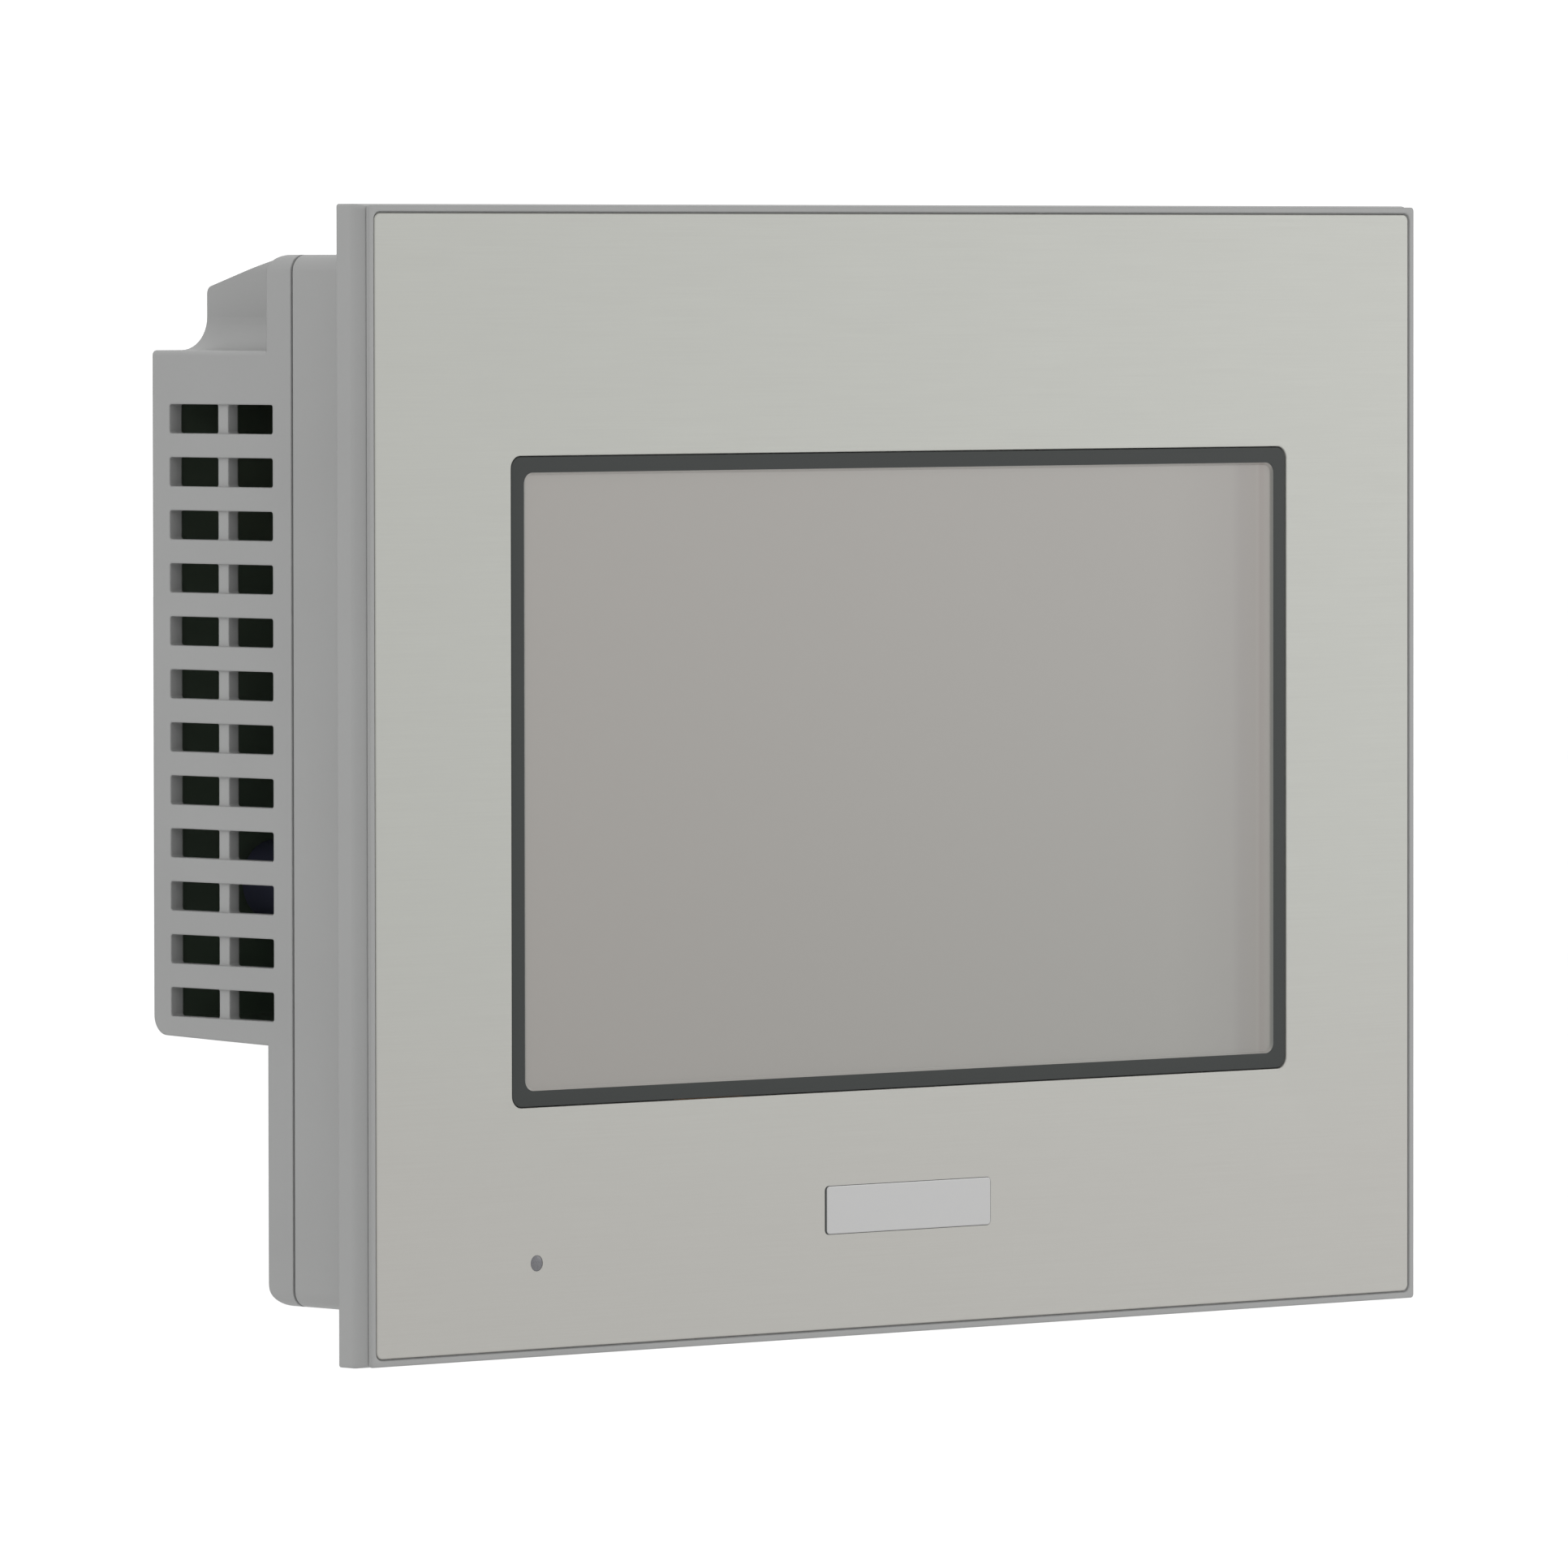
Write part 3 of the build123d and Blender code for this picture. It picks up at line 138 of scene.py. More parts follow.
class Shader:
    """A material under construction: its node tree, and short ways to add to it."""

    def __init__(self, name):
        self.material = bpy.data.materials.new(name)
        self.material.use_nodes = True
        self.tree = self.material.node_tree
        self.surface = self.tree.nodes["Principled BSDF"]
        self.place = self.add("ShaderNodeTexCoord").outputs["Object"]

    def add(self, kind, **settings):
        node = self.tree.nodes.new(kind)
        for key, value in settings.items():
            setattr(node, key, value)
        return node

    def link(self, source, target):
        self.tree.links.new(source, target)

    def set(self, **values):
        """Sets sockets of the surface, with _ for the space in their names."""
        for key, value in values.items():
            self.surface.inputs[key.replace("_", " ")].default_value = value

    def stretched(self, stretch):
        """The place on the object, squeezed along each axis by stretch."""
        mapping = self.add("ShaderNodeMapping")
        mapping.inputs["Scale"].default_value = stretch
        self.link(self.place, mapping.inputs["Vector"])
        return mapping.outputs["Vector"]

    def noise(self, size, detail=2.0, stretch=None):
        """Noise whose lumps are about size across, in metres."""
        node = self.add("ShaderNodeTexNoise")
        node.inputs["Scale"].default_value = 1.0 / size
        node.inputs["Detail"].default_value = detail
        self.link(self.stretched(stretch) if stretch else self.place, node.inputs["Vector"])
        return node.outputs["Fac"]

    def axis(self, index):
        """One coordinate of the place on the object."""
        split = self.add("ShaderNodeSeparateXYZ")
        self.link(self.place, split.inputs["Vector"])
        return split.outputs[index]

    def ramp(self, value, stops):
        """Colours along a value, from (position, colour) stops."""
        node = self.add("ShaderNodeValToRGB")
        elements = node.color_ramp.elements
        while len(elements) < len(stops):
            elements.new(0.5)
        for element, (position, colour) in zip(elements, stops):
            element.position = position
            element.color = (*colour, 1.0)
        self.link(value, node.inputs["Fac"])
        return node.outputs["Color"]

    def spread(self, value, low, high, source=(0.0, 1.0)):
        """A value moved from one range to another."""
        node = self.add("ShaderNodeMapRange")
        node.inputs["From Min"].default_value = source[0]
        node.inputs["From Max"].default_value = source[1]
        node.inputs["To Min"].default_value = low
        node.inputs["To Max"].default_value = high
        self.link(value, node.inputs["Value"])
        return node.outputs["Result"]

    def mix(self, amount, first, second, blend="MIX"):
        """Two colours mixed; each is a socket or a colour."""
        node = self.add("ShaderNodeMix", data_type="RGBA", blend_type=blend)
        for index, value in ((0, amount), (6, first), (7, second)):
            self.fill(node.inputs[index], value)
        return node.outputs[2]

    def maths(self, operation, first, second):
        """A sum on two values; each is a socket or a number."""
        node = self.add("ShaderNodeMath", operation=operation)
        self.fill(node.inputs[0], first)
        self.fill(node.inputs[1], second)
        return node.outputs[0]

    def vector(self, operation, first, second=(0.0, 0.0, 0.0)):
        """The same on two vectors."""
        node = self.add("ShaderNodeVectorMath", operation=operation)
        self.fill(node.inputs[0], first)
        self.fill(node.inputs[1], second)
        return node.outputs[0]

    def fill(self, socket, value):
        """Links a socket into another one, or sets it to a constant."""
        if isinstance(value, bpy.types.NodeSocket):
            self.link(value, socket)
        elif socket.type == "RGBA" and isinstance(value, tuple):
            socket.default_value = (*value, 1.0)
        else:
            socket.default_value = value

    def colour(self, socket):
        self.link(socket, self.surface.inputs["Base Color"])

    def roughness(self, socket):
        self.link(socket, self.surface.inputs["Roughness"])

    def moulding(self, colour, rough, grain, depth, mottle, edge):
        """Fine grain and slow changes of tone; returns the colour."""
        slow = self.noise(0.03, 3.0)
        tone = self.ramp(slow, [(0.3, shade(colour, 1 - mottle)), (0.7, shade(colour, 1 + mottle))])
        fine = self.noise(grain, 3.0)
        tinted = self.mix(self.spread(fine, 0.0, 0.12), tone, shade(colour, 0.8))
        self.colour(tinted)
        self.roughness(self.spread(slow, rough - 0.05, rough + 0.05))
        self.set(IOR=1.5)
        self.bump(fine, depth, edge)
        return tinted

    def bump(self, height, depth, edge=0.0):
        """Relief of the given depth, and edges softened by a small radius, both in metres."""
        node = self.add("ShaderNodeBump")
        node.inputs["Distance"].default_value = depth
        self.link(height, node.inputs["Height"])
        self.link(node.outputs["Normal"], self.surface.inputs["Normal"])
        if edge:
            soft = self.add("ShaderNodeBevel", samples=4)
            soft.inputs["Radius"].default_value = edge
            self.link(soft.outputs["Normal"], node.inputs["Normal"])


def shade(colour, factor):
    return tuple(channel * factor for channel in colour)


# ---------------------------------------------------------------- materials

# Painted shade: a dark green coat inside the case, standing in for the shade inside it
INNER_PAINTED_SHADE = (0.074, 0.098, 0.072)
# Half the inner width and height of the case, half the inner width of the upper block, and the
# depths between which the cover's inside is painted with shade, in mm
INNER_X = COVER_W / 2 - 2.35
INNER_Z = COVER_H / 2 - 2.35
BLOCK_X = 88.2
SHADE_FRONT = 17.0
SHADE_BACK = 49.7


def room(half_width, y_span, z_span):
    """A room as a pair of corners, in mm."""
    return (-half_width, y_span[0], z_span[0]), (half_width, y_span[1], z_span[1])


# Rooms in mm whose surfaces take the painted shade: the tub's, then the cover's
TUB_SHADE_ROOMS = [room(INNER_X, (0.0, 17.6), (-INNER_Z, INNER_Z))]
# Between the wings, in the upper block, under its sloping edge, and inside the rim
COVER_SHADE_ROOMS = [
    room(INNER_X, (SHADE_FRONT, SHADE_BACK), (-37.6, 62.1)),
    room(BLOCK_X, (SHADE_FRONT, SHADE_BACK), (60.0, 71.3)),
    room(BLOCK_X, (SHADE_FRONT, 33.0), (60.0, INNER_Z)),
    room(INNER_X, (SHADE_FRONT, 22.95), (-INNER_Z, INNER_Z)),
]

# Painted shade on the flange by depth: darker on the lip, in the groove behind it, and fading out along
# the hollow side
FLANGE_PAINTED_SHADE = [(-6.5, 0.95), (-5.97, 0.95), (-5.60, 0.87), (-2.80, 1.0)]

# Ways that scratches run
UPRIGHT = (1.0, 1.0, 0.05)
TURNED = (1.0, 0.05, 1.0)
EVEN = (1.0, 1.0, 1.0)


def moulded(name, colour, rough, grain, depth, mottle):
    """Moulded plastic: fine spark-eroded grain and slow changes of tone."""
    s = Shader(name)
    s.moulding(colour, rough, grain, depth, mottle, 0.0002)
    return s.material


def shaded_inside(name, colour, rooms, shade_by_depth=()):
    """The case's plastic, with painted shade, a dark green coat, on all that lies in the rooms, for the
    shade inside the case.
    A room is a pair of corners in mm. The shade by depth is (depth in mm, factor) from front to back:
    painted shade on the flange."""
    s = Shader(name)
    tone = s.moulding(colour, 0.52, 0.00035, 0.000012, 0.03, 0.0004)
    # Painted shade on the flange: the lip and the groove behind it darker, fading out along the hollow
    # side
    if shade_by_depth:
        first, last = shade_by_depth[0][0], shade_by_depth[-1][0]
        along = s.spread(s.axis(1), 0.0, 1.0, (first * MM, last * MM))
        stops = [((depth - first) / (last - first), (factor,) * 3) for depth, factor in shade_by_depth]
        tone = s.mix(1.0, tone, s.ramp(along, stops), "MULTIPLY")
    amounts = []
    for low, high in rooms:
        middle = [(low[k] + high[k]) / 2 * MM for k in range(3)]
        half = [(high[k] - low[k]) / 2 * MM for k in range(3)]
        offset = s.vector("ABSOLUTE", s.vector("SUBTRACT", s.place, middle))
        split = s.add("ShaderNodeSeparateXYZ")
        s.link(s.vector("SUBTRACT", offset, half), split.inputs["Vector"])
        sideways = s.maths("MAXIMUM", split.outputs[0], split.outputs[1])
        furthest = s.maths("MAXIMUM", sideways, split.outputs[2])
        amounts.append(s.maths("LESS_THAN", furthest, 0.0))
    inside = amounts[0]
    for amount in amounts[1:]:
        inside = s.maths("MAXIMUM", inside, amount)
    # Painted shade: the dark green on all in the rooms stands in for the shade inside the case
    s.colour(s.mix(inside, tone, INNER_PAINTED_SHADE))
    return s.material


def brushed(name, colour, rough, stretch, depth=0.000004, fleck=0.06, metallic=1.0):
    """Metal with fine scratches, drawn out along the axis where stretch is small."""
    s = Shader(name)
    scratch = s.noise(0.00012, 4.0, stretch)
    cloud = s.noise(0.04, 2.0)
    low = s.mix(cloud, shade(colour, 1 - fleck), colour)
    s.colour(s.mix(s.spread(scratch, 0.0, 0.5), low, shade(colour, 1 + fleck)))
    s.roughness(s.spread(scratch, rough - 0.07, rough + 0.07))
    s.set(Metallic=metallic)
    s.bump(scratch, depth)
    return s.material


def face_sheet():
    """The warm satin sheet of the front, brushed along its width."""
    s = Shader("face_sheet")
    warm = (0.333, 0.327, 0.307)
    cool = (0.331, 0.335, 0.312)
    brush = s.noise(0.00022, 5.0, (0.012, 1.0, 1.0))
    cloud = s.noise(0.05, 2.0, (0.6, 1.0, 1.0))
    height = s.spread(s.axis(2), 0.0, 1.0, (-0.080, 0.0))
    tone = s.ramp(s.mix(0.25, height, cloud), [(0.25, warm), (0.70, cool)])
    s.colour(s.mix(s.spread(brush, 0.0, 0.16), tone, shade(warm, 0.84)))
    s.roughness(s.spread(brush, 0.42, 0.54))
    s.set(Metallic=0.5)
    s.bump(brush, 0.0000015)
    return s.material


def dull_black():
    """The black print round the picture area, which hardly shines."""
    s = Shader("border_print")
    s.moulding((0.0247, 0.0275, 0.0264), 0.50, 0.0002, 0.000006, 0.06, 0.0)
    s.set(Specular_IOR_Level=0.2)
    return s.material


def display_film():
    """The matt film over the unlit display, with the faint edge tracks of the touch sensor, and painted
    shade that darkens it towards the bottom.
    """
    s = Shader("display_film")
    low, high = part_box("touch_film")
    across = s.spread(s.axis(0), 0.0, 1.0, (low.x, high.x))
    down = s.spread(s.axis(2), 1.0, 0.0, (low.z, high.z))
    # Painted shade: the film is darker towards the bottom, pinkish on the left and greenish on the
    # right
    pinkish = s.ramp(down, [(0.0, (0.240, 0.229, 0.213)), (1.0, (0.219, 0.208, 0.193))])
    greenish = s.ramp(down, [(0.0, (0.240, 0.230, 0.214)), (1.0, (0.215, 0.213, 0.198))])
    body = s.mix(across, pinkish, greenish)
    tracks = s.ramp(
        across,
        [
            (0.0, (0.45, 0.50, 0.50)),
            (0.0162, (0.45, 0.50, 0.50)),
            (0.0175, (1.0, 1.0, 1.0)),
            (0.850, (1.0, 1.0, 1.0)),
            (0.930, (0.935, 0.928, 0.930)),
            (0.943, (0.850, 0.828, 0.835)),
            (0.961, (0.835, 0.812, 0.800)),
            (0.965, (0.870, 0.850, 0.835)),
            (0.969, (0.790, 0.735, 0.730)),
            (0.975, (0.825, 0.790, 0.780)),
            (0.9818, (0.86, 0.85, 0.83)),
            (0.9832, (0.78, 0.79, 0.78)),
            (0.9846, (0.42, 0.46, 0.46)),
        ],
    )
    grain = s.noise(0.00018, 2.0)
    cloud = s.noise(0.02, 2.0)
    tinted = s.mix(1.0, body, tracks, "MULTIPLY")
    s.colour(s.mix(s.spread(cloud, 0.0, 0.08), tinted, (0.215, 0.210, 0.198)))
    s.roughness(s.spread(grain, 0.30, 0.40))
    s.set(IOR=1.45, Coat_Weight=0.15, Coat_Roughness=0.25)
    s.bump(grain, 0.000003)
    return s.material


def circuit_green():
    """Solder mask with copper tracks showing through, and tinned pads."""
    s = Shader("circuit_green")
    tracks = s.add("ShaderNodeTexBrick", offset=0.5)
    tracks.inputs["Scale"].default_value = 260.0
    tracks.inputs["Mortar Size"].default_value = 0.035
    tracks.inputs["Color1"].default_value = (0.010, 0.085, 0.030, 1.0)
    tracks.inputs["Color2"].default_value = (0.014, 0.100, 0.036, 1.0)
    tracks.inputs["Mortar"].default_value = (0.030, 0.180, 0.070, 1.0)
    turned = s.add("ShaderNodeMapping")
    turned.inputs["Rotation"].default_value = (radians(90), 0.0, 0.0)
    s.link(s.place, turned.inputs["Vector"])
    s.link(turned.outputs["Vector"], tracks.inputs["Vector"])
    pads = s.add("ShaderNodeTexVoronoi")
    pads.inputs["Scale"].default_value = 230.0
    s.link(s.place, pads.inputs["Vector"])
    near = s.ramp(pads.outputs["Distance"], [(0.10, (1.0, 1.0, 1.0)), (0.13, (0.0, 0.0, 0.0))])
    s.colour(s.mix(near, tracks.outputs["Color"], (0.42, 0.41, 0.38)))
    s.roughness(s.spread(s.noise(0.004), 0.28, 0.42))
    s.bump(tracks.outputs["Fac"], 0.00003)
    return s.material


def clear_sheet():
    """Clear glass with the slightest green."""
    s = Shader("clear_sheet")
    s.colour(s.ramp(s.noise(0.05), [(0.3, (0.86, 0.92, 0.89)), (0.7, (0.90, 0.94, 0.92))]))
    s.roughness(s.spread(s.noise(0.01), 0.02, 0.05))
    s.set(Transmission_Weight=0.9, IOR=1.5)
    return s.material


def milky_lens():
    """The status lamp's milky light pipe."""
    s = Shader("milky_lens")
    s.colour(s.ramp(s.noise(0.0009), [(0.3, (0.087, 0.087, 0.095)), (0.7, (0.099, 0.099, 0.108))]))
    s.roughness(s.spread(s.noise(0.0004), 0.22, 0.34))
    s.set(IOR=1.49, Subsurface_Weight=0.1, Subsurface_Radius=(0.001, 0.001, 0.001), Coat_Weight=0.2)
    return s.material


def seal_rubber():
    """Closed-cell sealing rubber."""
    s = Shader("seal_rubber_cells")
    cells = s.add("ShaderNodeTexVoronoi")
    cells.inputs["Scale"].default_value = 2600.0
    s.link(s.place, cells.inputs["Vector"])
    tone = [(0.0, (0.030, 0.030, 0.031)), (1.0, (0.058, 0.058, 0.058))]
    s.colour(s.ramp(cells.outputs["Distance"], tone))
    s.roughness(s.spread(s.noise(0.002), 0.75, 0.9))
    s.bump(cells.outputs["Distance"], 0.00004)
    return s.material


def winding(name, colour):
    """Turns of enamelled wire."""
    s = Shader(name)
    wave = s.add("ShaderNodeTexWave", bands_direction="X")
    wave.inputs["Scale"].default_value = 420.0
    wave.inputs["Distortion"].default_value = 1.2
    s.link(s.place, wave.inputs["Vector"])
    s.colour(s.mix(wave.outputs["Fac"], shade(colour, 0.45), colour))
    s.roughness(s.spread(s.noise(0.001), 0.25, 0.4))
    s.set(Metallic=0.8)
    s.bump(wave.outputs["Fac"], 0.0001)
    return s.material


MATERIALS = {
    # The case and the cover carry painted shade inside them, and the case also carries painted shade on
    # its flange
    "case_plastic": shaded_inside("case_painted_shade", (0.241, 0.243, 0.240), TUB_SHADE_ROOMS, FLANGE_PAINTED_SHADE),
    "cover_plastic": shaded_inside("cover_painted_shade", (0.239, 0.241, 0.239), COVER_SHADE_ROOMS),
    "face_metal": face_sheet(),
    "badge_metal": brushed("badge_satin", (0.356, 0.355, 0.354), 0.40, UPRIGHT, 0.000003, 0.04, 0.5),
    "lamp_window": milky_lens(),
    "border_black": dull_black(),
    "screen_film": display_film(),
    "clear_glass": clear_sheet(),
    "seal_rubber": seal_rubber(),
    "flex_circuit": moulded("flex_amber", (0.42, 0.20, 0.05), 0.35, 0.0006, 0.000004, 0.10),
    "sheet_steel": brushed("zinc_sheet", (0.42, 0.42, 0.41), 0.38, UPRIGHT),
    "lcd_cell": moulded("lcd_dark", (0.05, 0.052, 0.055), 0.18, 0.0004, 0.000001, 0.05),
    "white_plastic": moulded("white_guide", (0.80, 0.80, 0.78), 0.35, 0.0005, 0.000006, 0.03),
    "screw_steel": brushed("screw_nickel", (0.41, 0.405, 0.39), 0.30, EVEN, fleck=0.12),
    "pillar_brass": brushed("pillar_turned", (0.70, 0.52, 0.26), 0.30, TURNED),
    "board_green": circuit_green(),
    "chip_black": moulded("chip_epoxy", (0.022, 0.022, 0.024), 0.55, 0.0003, 0.000010, 0.12),
    "heat_sink_metal": brushed("heat_sink_drawn", (0.46, 0.46, 0.47), 0.36, (1.0, 1.0, 0.03)),
    "can_sleeve": moulded("can_shrink", (0.030, 0.032, 0.055), 0.30, 0.0008, 0.000010, 0.15),
    "ferrite": moulded("ferrite_grey", (0.055, 0.052, 0.050), 0.60, 0.0003, 0.000020, 0.15),
    "copper": winding("copper_turns", (0.62, 0.27, 0.12)),
    "cell_steel": brushed("cell_can", (0.52, 0.52, 0.51), 0.25, EVEN, 0.000002, 0.05),
    "black_plastic": moulded("black_grain", (0.024, 0.024, 0.025), 0.48, 0.0003, 0.000010, 0.10),
    "ivory_plastic": moulded("ivory_grain", (0.62, 0.57, 0.45), 0.45, 0.0004, 0.000008, 0.05),
    "port_metal": brushed("port_tin", (0.45, 0.445, 0.43), 0.28, (1.0, 1.0, 0.04), 0.000003),
    "terminal_green": moulded("terminal_grain", (0.025, 0.230, 0.100), 0.45, 0.0004, 0.000008, 0.07),
    "switch_red": moulded("switch_housing", (0.36, 0.028, 0.020), 0.42, 0.0003, 0.000008, 0.08),
    "switch_white": moulded("switch_knob", (0.78, 0.78, 0.75), 0.40, 0.0003, 0.000008, 0.04),
    "label_foil": moulded("label_matt", (0.60, 0.60, 0.59), 0.42, 0.0005, 0.000003, 0.03),
}

for entry in RECORD["subparts"]:
    NODES[entry["node"]].material_slots[0].material = MATERIALS[entry["material_slot"]]

# ---------------------------------------------------------------- mesh building


def mesh_from(name, vertices, faces):
    """A mesh whose faces all point outwards."""
    mesh = bpy.data.meshes.new(name)
    mesh.from_pydata(vertices, [], faces)
    shape = bmesh.new()
    shape.from_mesh(mesh)
    bmesh.ops.recalc_face_normals(shape, faces=shape.faces)
    shape.to_mesh(mesh)
    shape.free()
    return mesh


def add_piece(name, vertices, faces, slot, replaces=()):
    """A new mesh piece that rides on the case."""
    mesh = mesh_from(name, vertices, faces)
    piece = bpy.data.objects.new(name, mesh)
    bpy.context.scene.collection.objects.link(piece)
    mesh.materials.append(MATERIALS[slot])
    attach(piece, "body")
    if replaces:
        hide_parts(*replaces)
    return piece


def rounded_loop(width, height, corner, depth, centre):
    """Points round a rounded rectangle that faces the operator, at one depth; all in metres."""
    steps = 8
    points = []
    for quarter, (side_x, side_z) in enumerate(((1, 1), (-1, 1), (-1, -1), (1, -1))):
        middle_x = centre[0] + side_x * (width / 2 - corner)
        middle_z = centre[1] + side_z * (height / 2 - corner)
        for step in range(steps + 1):
            angle = (quarter + step / steps) * pi / 2
            points.append((middle_x + corner * cos(angle), depth, middle_z + corner * sin(angle)))
    return points


def band(first, second, count):
    """The faces between two loops of count points, given the loops' places in a list of them."""
    here, there = first * count, second * count
    nexts = [(k + 1) % count for k in range(count)]
    return [(here + k, here + after, there + after, there + k) for k, after in enumerate(nexts)]


def ring_faces(loops, count):
    """The faces through several loops of count points, and from the last back to the first."""
    return [face for k in range(loops) for face in band(k, (k + 1) % loops, count)]


def capped_faces(loops, count):
    """The faces through several loops of count points, with a cap at both ends."""
    sides = [face for k in range(loops - 1) for face in band(k, k + 1, count)]
    return [*sides, tuple(reversed(range(count))), tuple(range((loops - 1) * count, loops * count))]


def stack(name, rings, slot, closed=False, centre=(0.0, 0.0), replaces=()):
    """A piece from rounded rectangles (width, height, corner, depth) in mm, one after the other.
    A closed stack joins its last ring to its first, and an open one is capped at both ends."""
    loops = [rounded_loop(w * MM, h * MM, r * MM, y * MM, centre) for w, h, r, y in rings]
    vertices = [point for points in loops for point in points]
    surface = ring_faces if closed else capped_faces
    piece = add_piece(name, vertices, surface(len(loops), len(loops[0])), slot, replaces)
    smooth(piece)
    return piece


def smooth(piece):
    """Smooth shading, with edges sharper than 35 degrees kept crisp."""
    mesh = piece.data
    mesh.polygons.foreach_set("use_smooth", [True] * len(mesh.polygons))
    mesh.set_sharp_from_angle(angle=radians(35.0))
    mesh.update()
    weighted = piece.modifiers.new("even_shading", "WEIGHTED_NORMAL")
    weighted.keep_sharp = True


def box_cutter(low, high):
    """A plain box between two corners in mm, to cut with."""
    xs, ys, zs = ((low[k] * MM, high[k] * MM) for k in range(3))
    vertices = [(x, y, z) for x in xs for y in ys for z in zs]
    faces = [(0, 1, 3, 2), (4, 6, 7, 5), (0, 4, 5, 1), (2, 3, 7, 6), (0, 2, 6, 4), (1, 5, 7, 3)]
    return vertices, faces


def joined(solids):
    """The vertices and faces of several closed solids, as one list of each."""
    vertices, faces = [], []
    for points, sides in solids:
        start = len(vertices)
        vertices += points
        faces += [tuple(start + k for k in side) for side in sides]
    return vertices, faces


def round_cutter(centre, radius, front, back):
    """A round bar along the depth, to cut with; centre in metres, the rest in mm."""
    steps = 32
    around = [2 * pi * k / steps for k in range(steps)]
    points = [
        (centre[0] + radius * MM * cos(angle), depth * MM, centre[1] + radius * MM * sin(angle))
        for depth in (front, back)
        for angle in around
    ]
    return points, capped_faces(2, steps)


def grown(ring, amount, depth):
    """A ring made larger on every side, at a new depth."""
    width, height, corner = ring[:3]
    return (width + 2 * amount, height + 2 * amount, max(corner + amount, 0.05), depth)


def cut(piece, solids):
    """Takes several closed solids out of the piece, and shades it again."""
    cutter = bpy.data.objects.new("cutter", mesh_from("cutter", *joined(solids)))
    bpy.context.scene.collection.objects.link(cutter)
    piece.modifiers.clear()
    bpy.context.view_layer.update()
    modifier = piece.modifiers.new("cut", "BOOLEAN")
    modifier.object = cutter
    modifier.solver = "EXACT"
    bake_modifiers(piece)
    bpy.data.objects.remove(cutter)
    smooth(piece)


def bake_modifiers(piece):
    """Turns the piece's modifiers into its mesh."""
    bpy.context.view_layer.update()
    final = bpy.data.meshes.new_from_object(piece.evaluated_get(bpy.context.evaluated_depsgraph_get()))
    piece.modifiers.clear()
    old = piece.data
    piece.data = final
    name = old.name
    bpy.data.meshes.remove(old)
    final.name = name


# ---------------------------------------------------------------- front


def face_centre(node):
    """The place on the front where the middle of a CAD node lies, in metres."""
    low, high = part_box(node)
    return (low.x + high.x) / 2, (low.z + high.z) / 2


def side_ring(inset, depth):
    """A ring round the flange. Its left and right sides are hollowed more than its top and bottom."""
    height = FLANGE_H - 2 * (0.25 + 0.3 * inset)
    return (FLANGE_W - 2 * inset, height, 0.4 + 0.2 * inset, depth)


def bezel():
    """The flange with its hollow side and raised lip, and the tub of the case behind it."""
    front = FLANGE_FRONT
    gap_floor = front + GAP_DEPTH
    joint = JOINT_Y - JOINT_GAP
    window = (SCREEN_W + 0.6, SCREEN_H + 0.6, SCREEN_CORNER)
    ledge = (SCREEN_W - 4.2, SCREEN_H - 3.9, 1.6)
    groove = (SEAL_W + 0.2, SEAL_H + 0.2, 5.0)
    inner_groove = (SEAL_W - 5.8, SEAL_H - 5.8, 3.0)
    tub = (COVER_W, COVER_H, 2.5)
    hollow = (COVER_W - 2 * WALL, COVER_H - 2 * WALL, 1.0)
    lip = [
        (0.30, -6.50), (0.12, -6.45), (0.03, -6.34), (0.0, -6.20),
        (0.0, -6.06), (0.06, -5.99), (0.50, -5.96), (0.50, -5.60),
    ]
    side = [
        (0.98, -5.56), (0.92, -5.36), (0.80, -4.98), (0.62, -4.55), (0.40, -4.15), (0.20, -3.78),
        (0.06, -3.42), (0.0, -3.05), (0.0, -0.12), (0.03, -0.03), (0.12, 0.0),
    ]
    rings = [
        (*ledge, LEDGE_BACK), (*ledge, LEDGE_FRONT), (*window, LEDGE_FRONT), (*window, PLATE_BACK),
        grown(SHEET, 0.02, PLATE_BACK), grown(SHEET, 0.02, gap_floor), (*SEAT, gap_floor),
        (*SEAT, front + 0.14), grown(SEAT, 0.04, front + 0.04), grown(SEAT, 0.14, front),
        *[side_ring(LIP_INSET + inset, depth) for inset, depth in lip],
        *[side_ring(inset, depth) for inset, depth in side],
        (*groove, 0.0), (*groove, SEAL_FRONT), (*inner_groove, SEAL_FRONT), (*inner_groove, 0.0),
        grown(tub, 0.30, 0.0), grown(tub, 0.09, 0.09), grown(tub, 0.0, 0.30),
        grown(tub, 0.0, joint - 0.15), grown(tub, -0.04, joint - 0.04), grown(tub, -0.15, joint),
        grown(tub, -JOINT_DEPTH, joint), grown(tub, -JOINT_DEPTH, JOINT_Y),
        (*hollow, JOINT_Y), (*hollow, LEDGE_BACK),
    ]
    piece = stack("bezel_moulding", rings, "case_plastic", closed=True, replaces=["front_bezel"])
    holes = []
    for x in (-CLAMP_X, CLAMP_X):
        for up in (-1, 1):
            low, high = sorted((up * (COVER_H / 2 - 4.0), up * (COVER_H / 2 + 2.0)))
            near, far = (x - CLAMP_W / 2, CLAMP_Y[0], low), (x + CLAMP_W / 2, CLAMP_Y[1], high)
            holes.append(box_cutter(near, far))
    holes.append(round_cutter(face_centre("status_window"), LAMP_HOLE, PLATE_BACK - 1.0, 1.0))
    cut(piece, holes)


